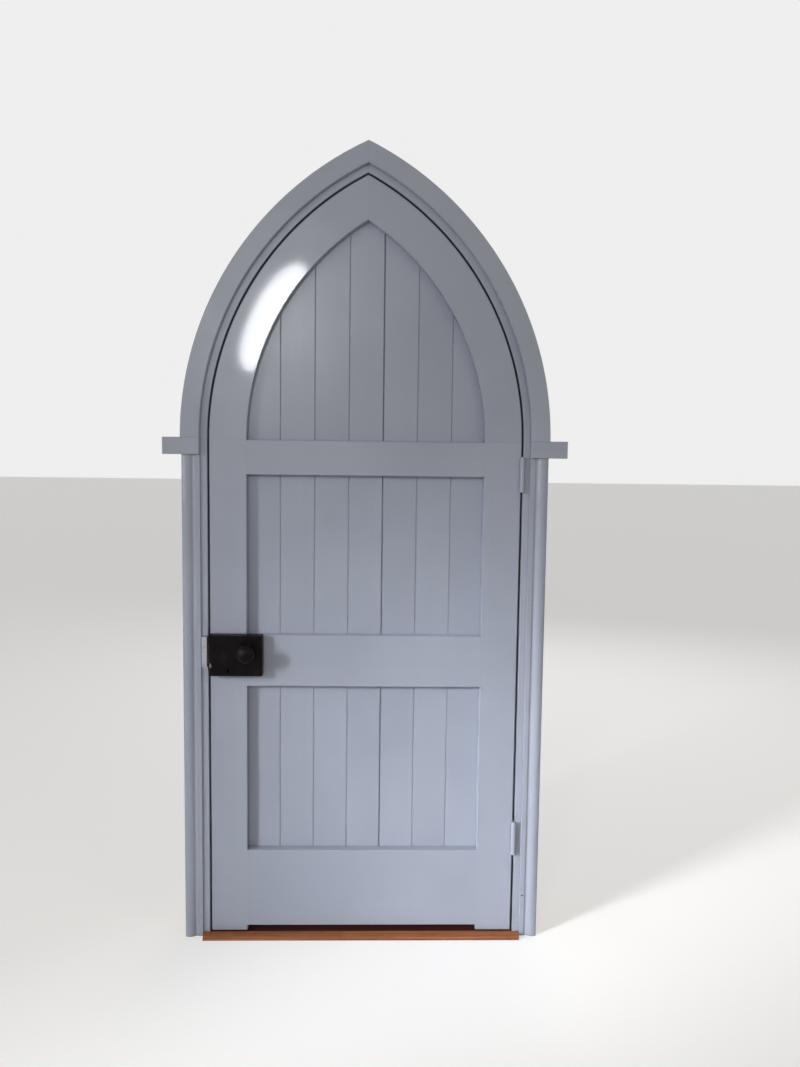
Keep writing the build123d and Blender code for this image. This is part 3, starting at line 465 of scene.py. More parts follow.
def new_material(name: str) -> tuple[Graph, bpy.types.Node, Socket]:
    """Start a material with one Principled shader.

    Args:
        name: The material's name.

    Returns:
        The graph, the shader and the point on the object.
    """
    material = bpy.data.materials.new(name)
    material.use_nodes = True
    graph = Graph(material.node_tree, material)
    shader = next(n for n in material.node_tree.nodes if n.type == "BSDF_PRINCIPLED")
    point = graph.add("ShaderNodeTexCoord").outputs["Object"]
    return graph, shader, point


def join(graph: Graph, node: bpy.types.Node, **inputs: Any) -> None:
    """Set or join a node's inputs, whose names have spaces for underscores.

    Args:
        graph: The graph that the node is in.
        node: The node.
        **inputs: Its values or sockets.
    """
    for name, value in inputs.items():
        graph.feed(node.inputs[name.replace("_", " ")], value)


def placed(graph: Graph, tree: bpy.types.NodeTree, **inputs: Any) -> Any:
    """Place a node group and set or join its inputs.

    Args:
        graph: The graph it goes into.
        tree: The group.
        **inputs: Its values or sockets.

    Returns:
        The placed group's outputs.
    """
    node = graph.add("ShaderNodeGroup", node_tree=tree)
    join(graph, node, **inputs)
    return node.outputs


@dataclass(frozen=True)
class GlossPaint:
    """Old gloss paint, brushed over wood, with bare wood where the wall hides a piece."""

    name: str
    run: Run
    arch: Arch
    paint: Colour = srgb(159, 166, 182)
    second_coat: Colour = srgb(151, 158, 174)
    # The dark colour of the painted shade and grime in grooves and corners.
    shade_and_grime: Colour = srgb(66, 64, 68)
    pine: Colour = srgb(190, 156, 112)
    pine_grain: Colour = srgb(146, 106, 66)
    streaked: float = 0.18
    shade_and_grime_share: float = 0.3
    floor_dirt: float = 0.05
    glossiest: float = 0.34
    dullest: float = 0.44
    gloss: float = 0.7
    gloss_blur: float = 0.06
    edge_radius: float = 0.0015
    lap_depth: float = 0.0004
    stroke_depth: float = 0.00014
    bare_beyond: float | None = None
    bare_behind: float | None = None

    def build(self) -> bpy.types.Material:
        """Make the material.

        Returns:
            The material of this finish.
        """
        graph, shader, point = new_material(self.name)
        grain = self.run.vector(graph, point, self.arch)
        strokes = placed(graph, brush_strokes_group(), Vector=grain)
        cloud = graph.noise(grain, 2.4, 3.0)
        # Painted shade and grime darken the grooves and corners, such as the V joints and the ledges under
        # the rails.
        shade_and_grime_mask = placed(graph, crevice_shade_and_grime_group(), Vector=point, Floor_Dirt=self.floor_dirt)["Mask"]
        coats = graph.blend(graph.spread(cloud, 0.35, 0.65), self.paint, self.second_coat)
        streaks = graph.math("MULTIPLY", strokes["Streak"], self.streaked)
        brushed = graph.blend(streaks, coats, self.second_coat)
        colour = graph.blend(graph.math("MULTIPLY", shade_and_grime_mask, self.shade_and_grime_share), brushed, self.shade_and_grime)
        handled = graph.noise(grain, 9.0, 4.0, 0.6)
        shine = graph.spread(handled, 0.3, 0.7, self.glossiest, self.dullest)
        dull = graph.math("ADD", shine, graph.math("MULTIPLY", shade_and_grime_mask, 0.35))
        softened = graph.add("ShaderNodeBevel", {"Radius": self.edge_radius}, samples=4).outputs[0]
        flow = graph.bump(graph.noise(grain, 9.0, 1.0), self.lap_depth, softened)
        normal = graph.bump(strokes["Height"], self.stroke_depth, flow)
        glossy: Any = self.gloss
        if self.bare_beyond is not None or self.bare_behind is not None:
            bare = self._bare(graph, point)
            wood = placed(graph, wood_figure_group(), Vector=grain)
            timber = graph.blend(wood["Dark"], self.pine, self.pine_grain)
            colour = graph.blend(bare, colour, timber)
            dull = graph.math("ADD", dull, graph.math("MULTIPLY", bare, 0.4))
            glossy = graph.math("MULTIPLY", graph.math("SUBTRACT", 1.0, bare), self.gloss)
        join(graph, shader, Base_Color=colour, Roughness=dull, Normal=normal)
        join(graph, shader, Coat_Weight=glossy, Coat_Roughness=self.gloss_blur)
        return graph.material

    def _bare(self, graph: Graph, point: Socket) -> Socket:
        """Find the faces that the painter couldn't reach.

        Args:
            graph: The material's graph.
            point: The point on the piece.

        Returns:
            A mask that is 1 on bare wood.
        """
        masks = []
        if self.bare_beyond is not None:
            if self.run is Run.ARC:
                across = graph.part(self.arch.bend(graph, point), 0)
            else:
                across = graph.math("ABSOLUTE", graph.part(point, 0))
            masks.append(graph.math("GREATER_THAN", across, self.bare_beyond))
        if self.bare_behind is not None:
            masks.append(graph.math("GREATER_THAN", graph.part(point, 1), self.bare_behind))
        return masks[0] if len(masks) == 1 else graph.math("MAXIMUM", *masks)


@dataclass(frozen=True)
class PaintedMetal:
    """The door's own paint over iron, rubbed a little at the corners."""

    name: str = "painted_hinge"
    paint: Colour = srgb(158, 165, 181)
    iron: Colour = srgb(92, 88, 88)
    shade_and_grime: Colour = srgb(60, 57, 60)
    gloss: float = 0.35
    gloss_blur: float = 0.1
    lump_depth: float = 0.00025

    def build(self) -> bpy.types.Material:
        """Make the material.

        Returns:
            The material of this finish.
        """
        graph, shader, point = new_material(self.name)
        rubbed = placed(graph, edge_rub_group(), Vector=point, Reach=0.0008, Patchiness=140.0, Amount=0.42)
        # Painted shade and grime darken the hinges' corners and the gaps between the knuckles.
        shade_and_grime_mask = placed(graph, crevice_shade_and_grime_group(), Vector=point, Reach=0.006, Floor_Dirt=0.1)["Mask"]
        painted = graph.blend(graph.math("MULTIPLY", shade_and_grime_mask, 0.8), self.paint, self.shade_and_grime)
        colour = graph.blend(rubbed["Mask"], painted, self.iron)
        dull = graph.spread(graph.noise(point, 60.0, 3.0), 0.3, 0.7, 0.26, 0.42)
        lumps = graph.bump(graph.noise(point, 220.0, 3.0), self.lump_depth)
        join(graph, shader, Base_Color=colour, Roughness=dull, Normal=lumps)
        join(graph, shader, Coat_Weight=self.gloss, Coat_Roughness=self.gloss_blur)
        return graph.material


@dataclass(frozen=True)
class BlackJapan:
    """Black stoving enamel on iron, worn brown at the corners and bright where a bolt rubs."""

    name: str = "black_japan"
    black: Colour = srgb(7, 4, 6)
    brown: Colour = srgb(50, 31, 26)
    bright: Colour = srgb(150, 142, 138)
    rub_place: tuple[float, float, float] = (-0.4, -0.024, 0.749)
    rub_size: tuple[float, float, float] = (0.005, 0.006, 0.011)
    rub_break: float = 0.12
    specular: float = 0.1
    pit_depth: float = 0.00012

    def build(self) -> bpy.types.Material:
        """Make the material.

        Returns:
            The material of this finish.
        """
        graph, shader, point = new_material(self.name)
        rubbed = placed(graph, edge_rub_group(), Vector=point, Reach=0.0018, Patchiness=90.0, Amount=0.5)
        patch = placed(
            graph,
            hand_rub_group(),
            Vector=point,
            Place=self.rub_place,
            Size=self.rub_size,
            Break_Up=self.rub_break,
        )
        cloud = graph.noise(point, 45.0, 4.0, 0.6)
        tinted = graph.blend(graph.spread(cloud, 0.5, 0.75, 0.0, 0.35), self.black, self.brown)
        worn = graph.blend(graph.math("MULTIPLY", rubbed["Mask"], 0.7), tinted, self.brown)
        colour = graph.blend(patch["Mask"], worn, self.bright)
        dull = graph.spread(cloud, 0.3, 0.7, 0.3, 0.5)
        metal = graph.math("MULTIPLY", patch["Mask"], 0.8)
        pits = graph.bump(graph.noise(point, 420.0, 3.0, 0.6), self.pit_depth)
        join(graph, shader, Base_Color=colour, Roughness=dull, Metallic=metal, Normal=pits)
        join(graph, shader, Specular_IOR_Level=self.specular)
        return graph.material


@dataclass(frozen=True)
class WornSteel:
    """Bare steel, dulled by handling, with stains and a few scratches."""

    name: str
    steel: Colour = srgb(172, 174, 180)
    stain: Colour = srgb(96, 88, 82)
    staining: float = 0.35
    dullest: float = 0.5
    metallic: float = 0.9
    scratch_width: float = 0.0006
    scratch_length: float = 0.012
    scratch_depth: float = 0.00006

    def build(self) -> bpy.types.Material:
        """Make the material.

        Returns:
            The material of this finish.
        """
        graph, shader, point = new_material(self.name)
        cloud = graph.noise(point, 70.0, 5.0, 0.65)
        scratches = placed(
            graph,
            brush_strokes_group(),
            Vector=point,
            Stroke_Width=self.scratch_width,
            Stroke_Length=self.scratch_length,
        )
        # Painted shade and real staining darken the steel in its hollows.
        shade_and_grime_mask = placed(graph, crevice_shade_and_grime_group(), Vector=point, Reach=0.005, Floor_Dirt=0.0)["Mask"]
        marks = graph.math("MULTIPLY", graph.spread(cloud, 0.5, 0.7), self.staining)
        stained = graph.blend(graph.math("MAXIMUM", marks, shade_and_grime_mask), self.steel, self.stain)
        dull = graph.spread(cloud, 0.3, 0.7, 0.28, self.dullest)
        normal = graph.bump(scratches["Height"], self.scratch_depth)
        join(graph, shader, Base_Color=stained, Roughness=dull, Metallic=self.metallic, Normal=normal)
        return graph.material


@dataclass(frozen=True)
class BareWood:
    """Bare wood, oiled or trodden, with its grain along the piece."""

    name: str
    run: Run
    arch: Arch
    wood: Colour = srgb(168, 126, 82)
    grain: Colour = srgb(112, 76, 44)
    shade_and_grime: Colour = srgb(48, 36, 30)
    shade_and_grime_share: float = 0.7
    floor_dirt: float = 0.0
    grain_depth: float = 0.0006
    # The span into the wall under the leaf where the tread gets painted shade with dust, how soft its edges
    # are, and its dark colour.
    under_leaf_shade: tuple[float, float] | None = None
    under_leaf_shade_fade: float = 0.004
    under_leaf_shade_colour: Colour = srgb(66, 38, 38)
    shine: float = 0.5

    def build(self) -> bpy.types.Material:
        """Make the material.

        Returns:
            The material of this finish.
        """
        graph, shader, point = new_material(self.name)
        grain = self.run.vector(graph, point, self.arch)
        figure = placed(graph, wood_figure_group(), Vector=grain)
        rubbed = placed(graph, edge_rub_group(), Vector=point, Reach=0.003, Patchiness=30.0, Amount=0.55)
        # Painted shade and grime darken the grooves and corners, and grime darkens the foot near the floor.
        shade_and_grime_mask = placed(graph, crevice_shade_and_grime_group(), Vector=point, Floor_Dirt=self.floor_dirt)["Mask"]
        timber = graph.blend(figure["Dark"], self.wood, self.grain)
        paler = graph.blend(graph.math("MULTIPLY", rubbed["Mask"], 0.5), timber, self.wood)
        colour = graph.blend(graph.math("MULTIPLY", shade_and_grime_mask, self.shade_and_grime_share), paler, self.shade_and_grime)
        # Painted shade, with dust, on the tread under the leaf: the colour darkens there and the specular
        # reflection is taken away.
        if self.under_leaf_shade is not None:
            start, end = self.under_leaf_shade
            depth = graph.part(point, 1)
            begins = graph.spread(depth, start, start + self.under_leaf_shade_fade)
            ends = graph.spread(depth, end - self.under_leaf_shade_fade, end, 1.0, 0.0)
            inside = graph.math("MULTIPLY", begins, ends)
            colour = graph.blend(inside, colour, self.under_leaf_shade_colour)
            under_leaf_specular = graph.spread(inside, 0.0, 1.0, self.shine, 0.0)
            join(graph, shader, Specular_IOR_Level=under_leaf_specular)
        dull = graph.spread(graph.noise(grain, 30.0, 3.0), 0.3, 0.7, 0.5, 0.75)
        normal = graph.bump(figure["Height"], self.grain_depth)
        join(graph, shader, Base_Color=colour, Roughness=dull, Normal=normal)
        return graph.material


def seen_directly(graph: Graph) -> Socket:
    """Tell the rays that show a surface apart from the rays that light another one.

    Args:
        graph: The material's or the world's graph.

    Returns:
        A mask that is 1 for what the camera, a polished face or glass shows.
    """
    rays = graph.add("ShaderNodeLightPath").outputs
    shown = graph.math("MAXIMUM", rays["Is Camera Ray"], rays["Is Glossy Ray"])
    return graph.math("MAXIMUM", shown, rays["Is Transmission Ray"])


@dataclass(frozen=True)
class Backdrop:
    """The plain pale surface that the door stands on."""

    name: str = "pale_floor"
    pale: Colour = srgb(212, 212, 212)
    lift: float = 0.42
    dullness: float = 0.8
    specular: float = 0.2

    def build(self) -> bpy.types.Material:
        """Make the material.

        Returns:
            The material of this finish.
        """
        graph, shader, _ = new_material(self.name)
        lifted = graph.math("MULTIPLY", seen_directly(graph), self.lift)
        join(graph, shader, Base_Color=(*self.pale, 1.0), Roughness=self.dullness)
        join(graph, shader, Specular_IOR_Level=self.specular)
        join(graph, shader, Emission_Color=(1.0, 1.0, 1.0, 1.0), Emission_Strength=lifted)
        return graph.material


class Facing(Enum):
    """The way that a fastener's head looks, as the turn that brings it there from straight up."""

    ROOM = (math.pi / 2, 0.0, 0.0)
    WALL = (-math.pi / 2, 0.0, 0.0)
    RIGHT = (0.0, math.pi / 2, 0.0)
    LEFT = (0.0, -math.pi / 2, 0.0)

    @property
    def outward(self) -> Vector:
        """The direction that the head looks in."""
        return (Euler(self.value).to_matrix() @ Vector((0.0, 0.0, 1.0))).normalized()


class Head(Enum):
    """The kinds of head that the fasteners have."""

    COUNTERSUNK = "countersunk"
    ROUND = "round"
    NAIL = "nail"


def geometry_tree(name: str, **inputs: str) -> tuple[Graph, Any]:
    """Start a geometry tree that takes a mesh and a finish.

    Args:
        name: The tree's name.
        **inputs: The kind of each further input; underscores stand for spaces.

    Returns:
        The tree's graph and its inputs.
    """
    tree = bpy.data.node_groups.new(name, "GeometryNodeTree")
    for label, kind in {"Geometry": "Geometry", "Finish": "Material", **inputs}.items():
        tree.interface.new_socket(label.replace("_", " "), in_out="INPUT", socket_type=f"NodeSocket{kind}")
    return Graph(tree), tree.nodes.new("NodeGroupInput").outputs


def finished_tree(graph: Graph, shape: Socket, finish: Socket) -> bpy.types.NodeTree:
    """End a geometry tree with a plain mesh in its finish.

    Args:
        graph: The tree's graph.
        shape: What the tree has made.
        finish: The tree's finish.

    Returns:
        The tree.
    """
    real = graph.add("GeometryNodeRealizeInstances", {"Geometry": shape})
    dressed = graph.add("GeometryNodeSetMaterial", {"Geometry": real.outputs[0], "Material": finish})
    graph.tree.interface.new_socket("Geometry", in_out="OUTPUT", socket_type="NodeSocketGeometry")
    graph.add("NodeGroupOutput", {0: dressed.outputs[0]})
    return graph.tree


@cache
def fastener_tree(head: Head) -> bpy.types.NodeTree:
    """Build the geometry tree that puts a fastener on every point of a mesh.

    Args:
        head: The kind of head.

    Returns:
        The tree, with its sizes as named inputs.
    """
    graph, entry = geometry_tree(
        f"{head.value}_fasteners",
        Shank_Radius="Float",
        Head_Radius="Float",
        Head_Depth="Float",
        Length="Float",
        Slot_Width="Float",
        Slot_Depth="Float",
        Turn="Rotation",
        Seed="Int",
    )
    depth = entry["Head Depth"]
    long = graph.math("SUBTRACT", entry["Length"], graph.math("MULTIPLY", depth, 0.5))
    shank = graph.add(
        "GeometryNodeMeshCylinder",
        {"Vertices": SHANK_SIDES, "Radius": entry["Shank Radius"], "Depth": long},
    )
    drop = graph.math("SUBTRACT", graph.math("MULTIPLY", long, 0.5), entry["Length"])
    sunk = graph.add("ShaderNodeCombineXYZ", {2: drop})
    stem = graph.add(
        "GeometryNodeTransform", {"Geometry": shank.outputs["Mesh"], "Translation": sunk.outputs[0]}
    )
    cap = head_shape(graph, head, entry)
    whole = graph.add("GeometryNodeMeshBoolean", operation="UNION")
    graph.feed(whole.inputs["Mesh 2"], stem.outputs[0])
    graph.feed(whole.inputs["Mesh 2"], cap)
    shape = whole.outputs["Mesh"]
    if head is not Head.NAIL:
        cut = graph.math("MULTIPLY", entry["Slot Depth"], 2.0)
        wide = graph.math("MULTIPLY", entry["Head Radius"], 3.0)
        size = graph.add("ShaderNodeCombineXYZ", {0: wide, 1: entry["Slot Width"], 2: cut})
        cutter = graph.add("GeometryNodeMeshCube", {"Size": size.outputs[0]})
        slotted = graph.add(
            "GeometryNodeMeshBoolean",
            {"Mesh 1": shape, "Mesh 2": cutter.outputs["Mesh"]},
            operation="DIFFERENCE",
        )
        shape = slotted.outputs["Mesh"]
    spin = graph.add(
        "FunctionNodeRandomValue", {"Max": math.tau, "Seed": entry["Seed"]}, data_type="FLOAT"
    )
    angle = next(s for s in spin.outputs if s.enabled)
    own = graph.add("FunctionNodeAxisAngleToRotation", {"Axis": (0.0, 0.0, 1.0), "Angle": angle})
    turned = graph.add(
        "FunctionNodeRotateRotation",
        {"Rotation": entry["Turn"], "Rotate By": own.outputs[0]},
        rotation_space="LOCAL",
    )
    points = graph.add("GeometryNodeMeshToPoints", {"Mesh": entry["Geometry"]})
    placed_heads = graph.add(
        "GeometryNodeInstanceOnPoints",
        {"Points": points.outputs[0], "Instance": shape, "Rotation": turned.outputs[0]},
    )
    return finished_tree(graph, placed_heads.outputs[0], entry["Finish"])


def head_shape(graph: Graph, head: Head, entry: Any) -> Socket:
    """Make one head, its top at the origin and looking up.

    Args:
        graph: The geometry tree.
        head: The kind of head.
        entry: The tree's inputs.

    Returns:
        The head's mesh.
    """
    depth, radius = entry["Head Depth"], entry["Head Radius"]
    down = graph.add("ShaderNodeCombineXYZ", {2: graph.math("MULTIPLY", depth, -1.0)}).outputs[0]
    if head is Head.ROUND:
        ball = graph.add(
            "GeometryNodeMeshUVSphere", {"Segments": ROUND_SIDES, "Rings": DOME_RINGS, "Radius": radius}
        )
        flat = graph.add("ShaderNodeCombineXYZ", {0: 1.0, 1: 1.0, 2: graph.math("DIVIDE", depth, radius)})
        dome = graph.add(
            "GeometryNodeTransform",
            {"Geometry": ball.outputs["Mesh"], "Translation": down, "Scale": flat.outputs[0]},
        )
        under = graph.math("SUBTRACT", graph.math("MULTIPLY", depth, -1.0), CUTTING_BLOCK / 2)
        low = graph.add("ShaderNodeCombineXYZ", {2: under})
        cube = graph.add("GeometryNodeMeshCube", {"Size": (CUTTING_BLOCK, CUTTING_BLOCK, CUTTING_BLOCK)})
        base = graph.add(
            "GeometryNodeTransform", {"Geometry": cube.outputs["Mesh"], "Translation": low.outputs[0]}
        )
        half = graph.add(
            "GeometryNodeMeshBoolean",
            {"Mesh 1": dome.outputs[0], "Mesh 2": base.outputs[0]},
            operation="DIFFERENCE",
        )
        return half.outputs["Mesh"]
    bottom = entry["Shank Radius"] if head is Head.COUNTERSUNK else radius
    top = radius if head is Head.COUNTERSUNK else graph.math("MULTIPLY", radius, NAIL_TOP_SHARE)
    sides = ROUND_SIDES if head is Head.COUNTERSUNK else NAIL_SIDES
    cone = graph.add(
        "GeometryNodeMeshCone",
        {"Vertices": sides, "Radius Top": top, "Radius Bottom": bottom, "Depth": depth},
    )
    lowered = graph.add("GeometryNodeTransform", {"Geometry": cone.outputs["Mesh"], "Translation": down})
    return lowered.outputs[0]


@cache
def bead_tree() -> bpy.types.NodeTree:
    """Build the geometry tree that lays a round bead along every edge of a mesh.

    Returns:
        The tree, with the bead's radius and finish as named inputs.
    """
    graph, entry = geometry_tree("beads", Radius="Float")
    path = graph.add("GeometryNodeMeshToCurve", {"Mesh": entry["Geometry"]})
    section = graph.add(
        "GeometryNodeCurvePrimitiveCircle", {"Resolution": BEAD_SIDES, "Radius": entry["Radius"]}
    )
    bead = graph.add(
        "GeometryNodeCurveToMesh",
        {"Curve": path.outputs[0], "Profile Curve": section.outputs[0], "Fill Caps": True},
    )
    return finished_tree(graph, bead.outputs[0], entry["Finish"])


def loose_boxes(node: str) -> list[tuple[Vector, Vector]]:
    """Find the separate solids of a node.

    Args:
        node: The node's name.

    Returns:
        The lowest and highest corner of each solid.
    """
    mesh = bmesh.new()
    mesh.from_mesh(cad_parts[node].data)
    bmesh.ops.remove_doubles(mesh, verts=mesh.verts, dist=WELD_DISTANCE)
    left = set(mesh.verts)
    boxes = []
    while left:
        start = left.pop()
        solid, todo = [start], [start]
        while todo:
            for edge in todo.pop().link_edges:
                for vertex in edge.verts:
                    if vertex in left:
                        left.discard(vertex)
                        solid.append(vertex)
                        todo.append(vertex)
        low = Vector(tuple(min(v.co[i] for v in solid) for i in range(3)))
        high = Vector(tuple(max(v.co[i] for v in solid) for i in range(3)))
        boxes.append((low, high))
    mesh.free()
    return sorted(boxes, key=lambda corners: tuple(round(c, 4) for c in corners[0]))


@dataclass
class Fasteners:
    """A set of screws or nails that takes the place of one node."""

    node: str
    facing: Facing
    head: Head
    shank_radius: float
    head_depth: float
    slot_width: float = 0.0007
    slot_depth: float = 0.0006
    seed: int = 1

    def build(self, finish: bpy.types.Material) -> bpy.types.Object:
        """Put a fastener where each solid of the node is.

        Args:
            finish: The fasteners' material.

        Returns:
            The finished piece.
        """
        boxes = loose_boxes(self.node)
        out = self.facing.outward
        places = []
        for low, high in boxes:
            centre, half = (low + high) / 2, (high - low) / 2
            places.append(centre + Vector(tuple(out[i] * half[i] for i in range(3))))
        low, high = boxes[0]
        spans = high - low
        length = abs(spans.dot(out))
        head_radius = max(spans[i] for i in range(3) if abs(out[i]) < 0.5) / 2
        mesh = bpy.data.meshes.new(f"{self.node}_places")
        mesh.from_pydata(places, [], [])
        piece = bpy.data.objects.new(f"{self.node}_set", mesh)
        bpy.context.scene.collection.objects.link(piece)
        values = {
            "Shank Radius": self.shank_radius,
            "Head Radius": head_radius,
            "Head Depth": self.head_depth,
            "Length": length,
            "Slot Width": self.slot_width,
            "Slot Depth": self.slot_depth,
            "Turn": Euler(self.facing.value),
            "Seed": self.seed,
            "Finish": finish,
        }
        return bake_tree(piece, fastener_tree(self.head), values)


def bake_tree(piece: bpy.types.Object, tree: bpy.types.NodeTree, values: dict[str, Any]) -> bpy.types.Object:
    """Run a geometry tree on a piece and keep the plain mesh that comes out.

    Args:
        piece: The object that the tree starts from.
        tree: The geometry tree.
        values: The tree's inputs, by name.

    Returns:
        The same object with its new mesh and no modifier.
    """
    modifier = piece.modifiers.new("shape", "NODES")
    modifier.node_group = tree
    for item in tree.interface.items_tree:
        if item.item_type == "SOCKET" and item.in_out == "INPUT" and item.name in values:
            modifier[item.identifier] = values[item.name]
    depsgraph = bpy.context.evaluated_depsgraph_get()
    mesh = bpy.data.meshes.new_from_object(piece.evaluated_get(depsgraph), depsgraph=depsgraph)
    piece.modifiers.remove(modifier)
    piece.data = mesh
    return piece


def dress(names: list[str], material: bpy.types.Material) -> None:
    """Give CAD nodes a material.

    Args:
        names: The nodes.
        material: Their finish.
    """
    for name in names:
        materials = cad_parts[name].data.materials
        materials.clear()
        materials.append(material)
        log.info("%s is dressed in %s", name, material.name)


@dataclass
class Finishes:
    """Every material of the door, made once."""

    arch: Arch
    jamb_outside: float
    arch_outside: float
    leaf_span: tuple[float, float]
    hidden_edge: float = 0.0004

    def __post_init__(self) -> None:
        """Build the materials."""
        arch, hidden = self.arch, self.hidden_edge
        self.upright = GlossPaint("paint_upright", Run.UPRIGHT, arch).build()
        self.boards = GlossPaint("paint_boards", Run.UPRIGHT, arch, gloss=0.35, gloss_blur=0.25).build()
        self.level = GlossPaint("paint_level", Run.LEVEL, arch).build()
        self.curved = GlossPaint("paint_curved", Run.ARC, arch).build()
        self.jamb = GlossPaint(
            "paint_jamb", Run.UPRIGHT, arch, bare_beyond=self.jamb_outside - hidden
        ).build()
        self.arch_jamb = GlossPaint(
            "paint_arch_jamb", Run.ARC, arch, bare_beyond=self.arch_outside - hidden
        ).build()
        self.casing = GlossPaint("paint_casing", Run.UPRIGHT, arch, bare_behind=-hidden).build()
        self.horn = GlossPaint("paint_horn", Run.LEVEL, arch, bare_behind=-hidden).build()
        self.band = GlossPaint("paint_band", Run.ARC, arch, bare_behind=-hidden).build()
        self.hinge = PaintedMetal().build()
        self.black = BlackJapan().build()
        self.keep = WornSteel("worn_keep").build()
        self.bright = WornSteel("bright_steel", staining=0.15, dullest=0.4).build()
        self.spring = WornSteel("blued_steel", steel=srgb(104, 108, 124), staining=0.2).build()
        self.oak = BareWood("bare_oak", Run.LEVEL, arch).build()
        self.tread = BareWood(
            "trodden_wood",
            Run.LEVEL,
            arch,
            wood=srgb(178, 110, 62),
            grain=srgb(124, 71, 40),
            floor_dirt=0.25,
            under_leaf_shade=(self.leaf_span[0] - hidden, self.leaf_span[1]),
        ).build()


@dataclass
class Leaf:
    """The door's leaf: stiles, rails, curved head rails and the boards behind them."""

    finishes: Finishes
    board_count: int = 7
    open_after: int = 4
    joint_gap: float = 0.0004
    joint_depth: float = 0.0015
    bead_radius: float = 0.00055
    bead_short: float = 0.002

    def make(self) -> None:
        """Dress the leaf's woodwork, fill its joints with paint and make its nails."""
        boards = [f"board_{number + 1}" for number in range(self.board_count)]
        dress(["lock_stile", "hinge_stile", "tenon_pegs"], self.finishes.upright)
        dress(boards, self.finishes.boards)
        dress(["spring_rail", "lock_rail", "bottom_rail"], self.finishes.level)
        dress(["left_arch_rail", "right_arch_rail"], self.finishes.curved)
        dress(["loose_tenons"], self.finishes.oak)
        nails = Fasteners("board_nails", Facing.WALL, Head.NAIL, shank_radius=0.0012, head_depth=0.0012)
        seat(nails.build(self.finishes.hinge), "leaf", "board_nails")
        self._fill_joints(boards)

    def _fill_joints(self, boards: list[str]) -> None:
        """Lay the old paint that fills the closed V joints between the boards, front and back.

        Args:
            boards: The boards' nodes, from left to right.
        """
        # The bead rests against both slopes of the V.
        sunk = self.joint_depth + self.joint_gap / 2 - self.bead_radius * math.sqrt(2.0)
        points = []
        for number, (left, right) in enumerate(zip(boards, boards[1:]), start=1):
            if number == self.open_after:
                continue
            (low, high), (_, left_high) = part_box(right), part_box(left)
            across = low.x - self.joint_gap / 2
            top = min(high.z, left_high.z) - self.bead_short
            for into in (low.y + sunk, high.y - sunk):
                points += [(across, into, low.z + self.bead_short), (across, into, top)]
        mesh = bpy.data.meshes.new("joint_paint")
        mesh.from_pydata(points, [(first, first + 1) for first in range(0, len(points), 2)], [])
        piece = bpy.data.objects.new("joint_paint", mesh)
        bpy.context.scene.collection.objects.link(piece)
        bake_tree(piece, bead_tree(), {"Radius": self.bead_radius, "Finish": self.finishes.boards})
        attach(piece, "leaf")
        log.info("%s fills the joints between the boards", piece.name)


@dataclass
class DoorFrame:
    """The frame: jambs, stops, casings, horns, bands and threshold."""

    finishes: Finishes

    def make(self) -> None:
        """Dress the frame's woodwork."""
        pairs = {
            "jamb": self.finishes.jamb,
            "arch_jamb": self.finishes.arch_jamb,
            "stop": self.finishes.upright,
            "arch_stop": self.finishes.curved,
            "casing": self.finishes.casing,
            "horn": self.finishes.horn,
            "arch_band": self.finishes.band,
        }
        for part, material in pairs.items():
            dress([f"left_{part}", f"right_{part}"], material)
        dress(["threshold"], self.finishes.tread)
        dress(["frame_dowels"], self.finishes.oak)
        dress(["trim_nails"], self.finishes.hinge)


@dataclass
class Hinges:
    """The two butt hinges and their screws."""

    finishes: Finishes

    def make(self) -> None:
        """Dress the flaps and pins, and cut the slots of the screws."""
        parts = ("frame_flap", "leaf_flap", "pin")
        for place in ("lower", "upper"):
            dress([f"{place}_hinge_{part}" for part in parts], self.finishes.hinge)
        for body, facing in (("leaf", Facing.RIGHT), ("frame", Facing.LEFT)):
            screws = Fasteners(
                f"{body}_hinge_screws", facing, Head.COUNTERSUNK, shank_radius=0.0018, head_depth=0.0016
            )
            seat(screws.build(self.finishes.hinge), body, screws.node)


@dataclass
class RimLock:
    """The rim lock on the room side, its knob, and the keep on the jamb."""

    finishes: Finishes

    def make(self) -> None:
        """Dress the lock and make its screws."""
        dress(["lock_case", "lock_plate", "inner_knob"], self.finishes.black)
        dress(["follower", "spindle", "knob_pins", "latch_bolt", "dead_bolt"], self.finishes.bright)
        dress(["bow_spring", "latch_spring"], self.finishes.spring)
        dress(["lock_keep"], self.finishes.keep)
        case_screws = Fasteners(
            "lock_screws",
            Facing.ROOM,
            Head.ROUND,
            shank_radius=0.002,
            head_depth=0.0024,
            slot_width=0.0011,
            slot_depth=0.0012,
        )
        seat(case_screws.build(self.finishes.black), "leaf", "lock_screws")
        keep_screws = Fasteners(
            "keep_screws", Facing.RIGHT, Head.COUNTERSUNK, shank_radius=0.0018, head_depth=0.0016, seed=3
        )
        seat(keep_screws.build(self.finishes.keep), "frame", "keep_screws")


@dataclass
class OutsideFurniture:
    """The knob, rose and key plate on the far side."""

    finishes: Finishes

    def make(self) -> None:
        """Dress the knob and the plates, and make their screws."""
        dress(["outer_knob", "outer_rose", "outer_keyplate"], self.finishes.black)
        screws = Fasteners(
            "plate_screws", Facing.WALL, Head.COUNTERSUNK, shank_radius=0.0013, head_depth=0.0011, seed=5
        )
        seat(screws.build(self.finishes.black), "leaf", "plate_screws")


def seat(piece: bpy.types.Object, body: str, node: str) -> None:
    """Let a piece stand for a node and move with its body.

    Args:
        piece: The finished piece.
        body: The body that it moves with.
        node: The node that it stands for.
    """
    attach(piece, body)
    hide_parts(node)
    log.info("%s stands for %s on %s", piece.name, node, body)


class LampShape(Enum):
    """The outlines that a soft lamp can have."""

    RECTANGLE = "RECTANGLE"
    ELLIPSE = "ELLIPSE"


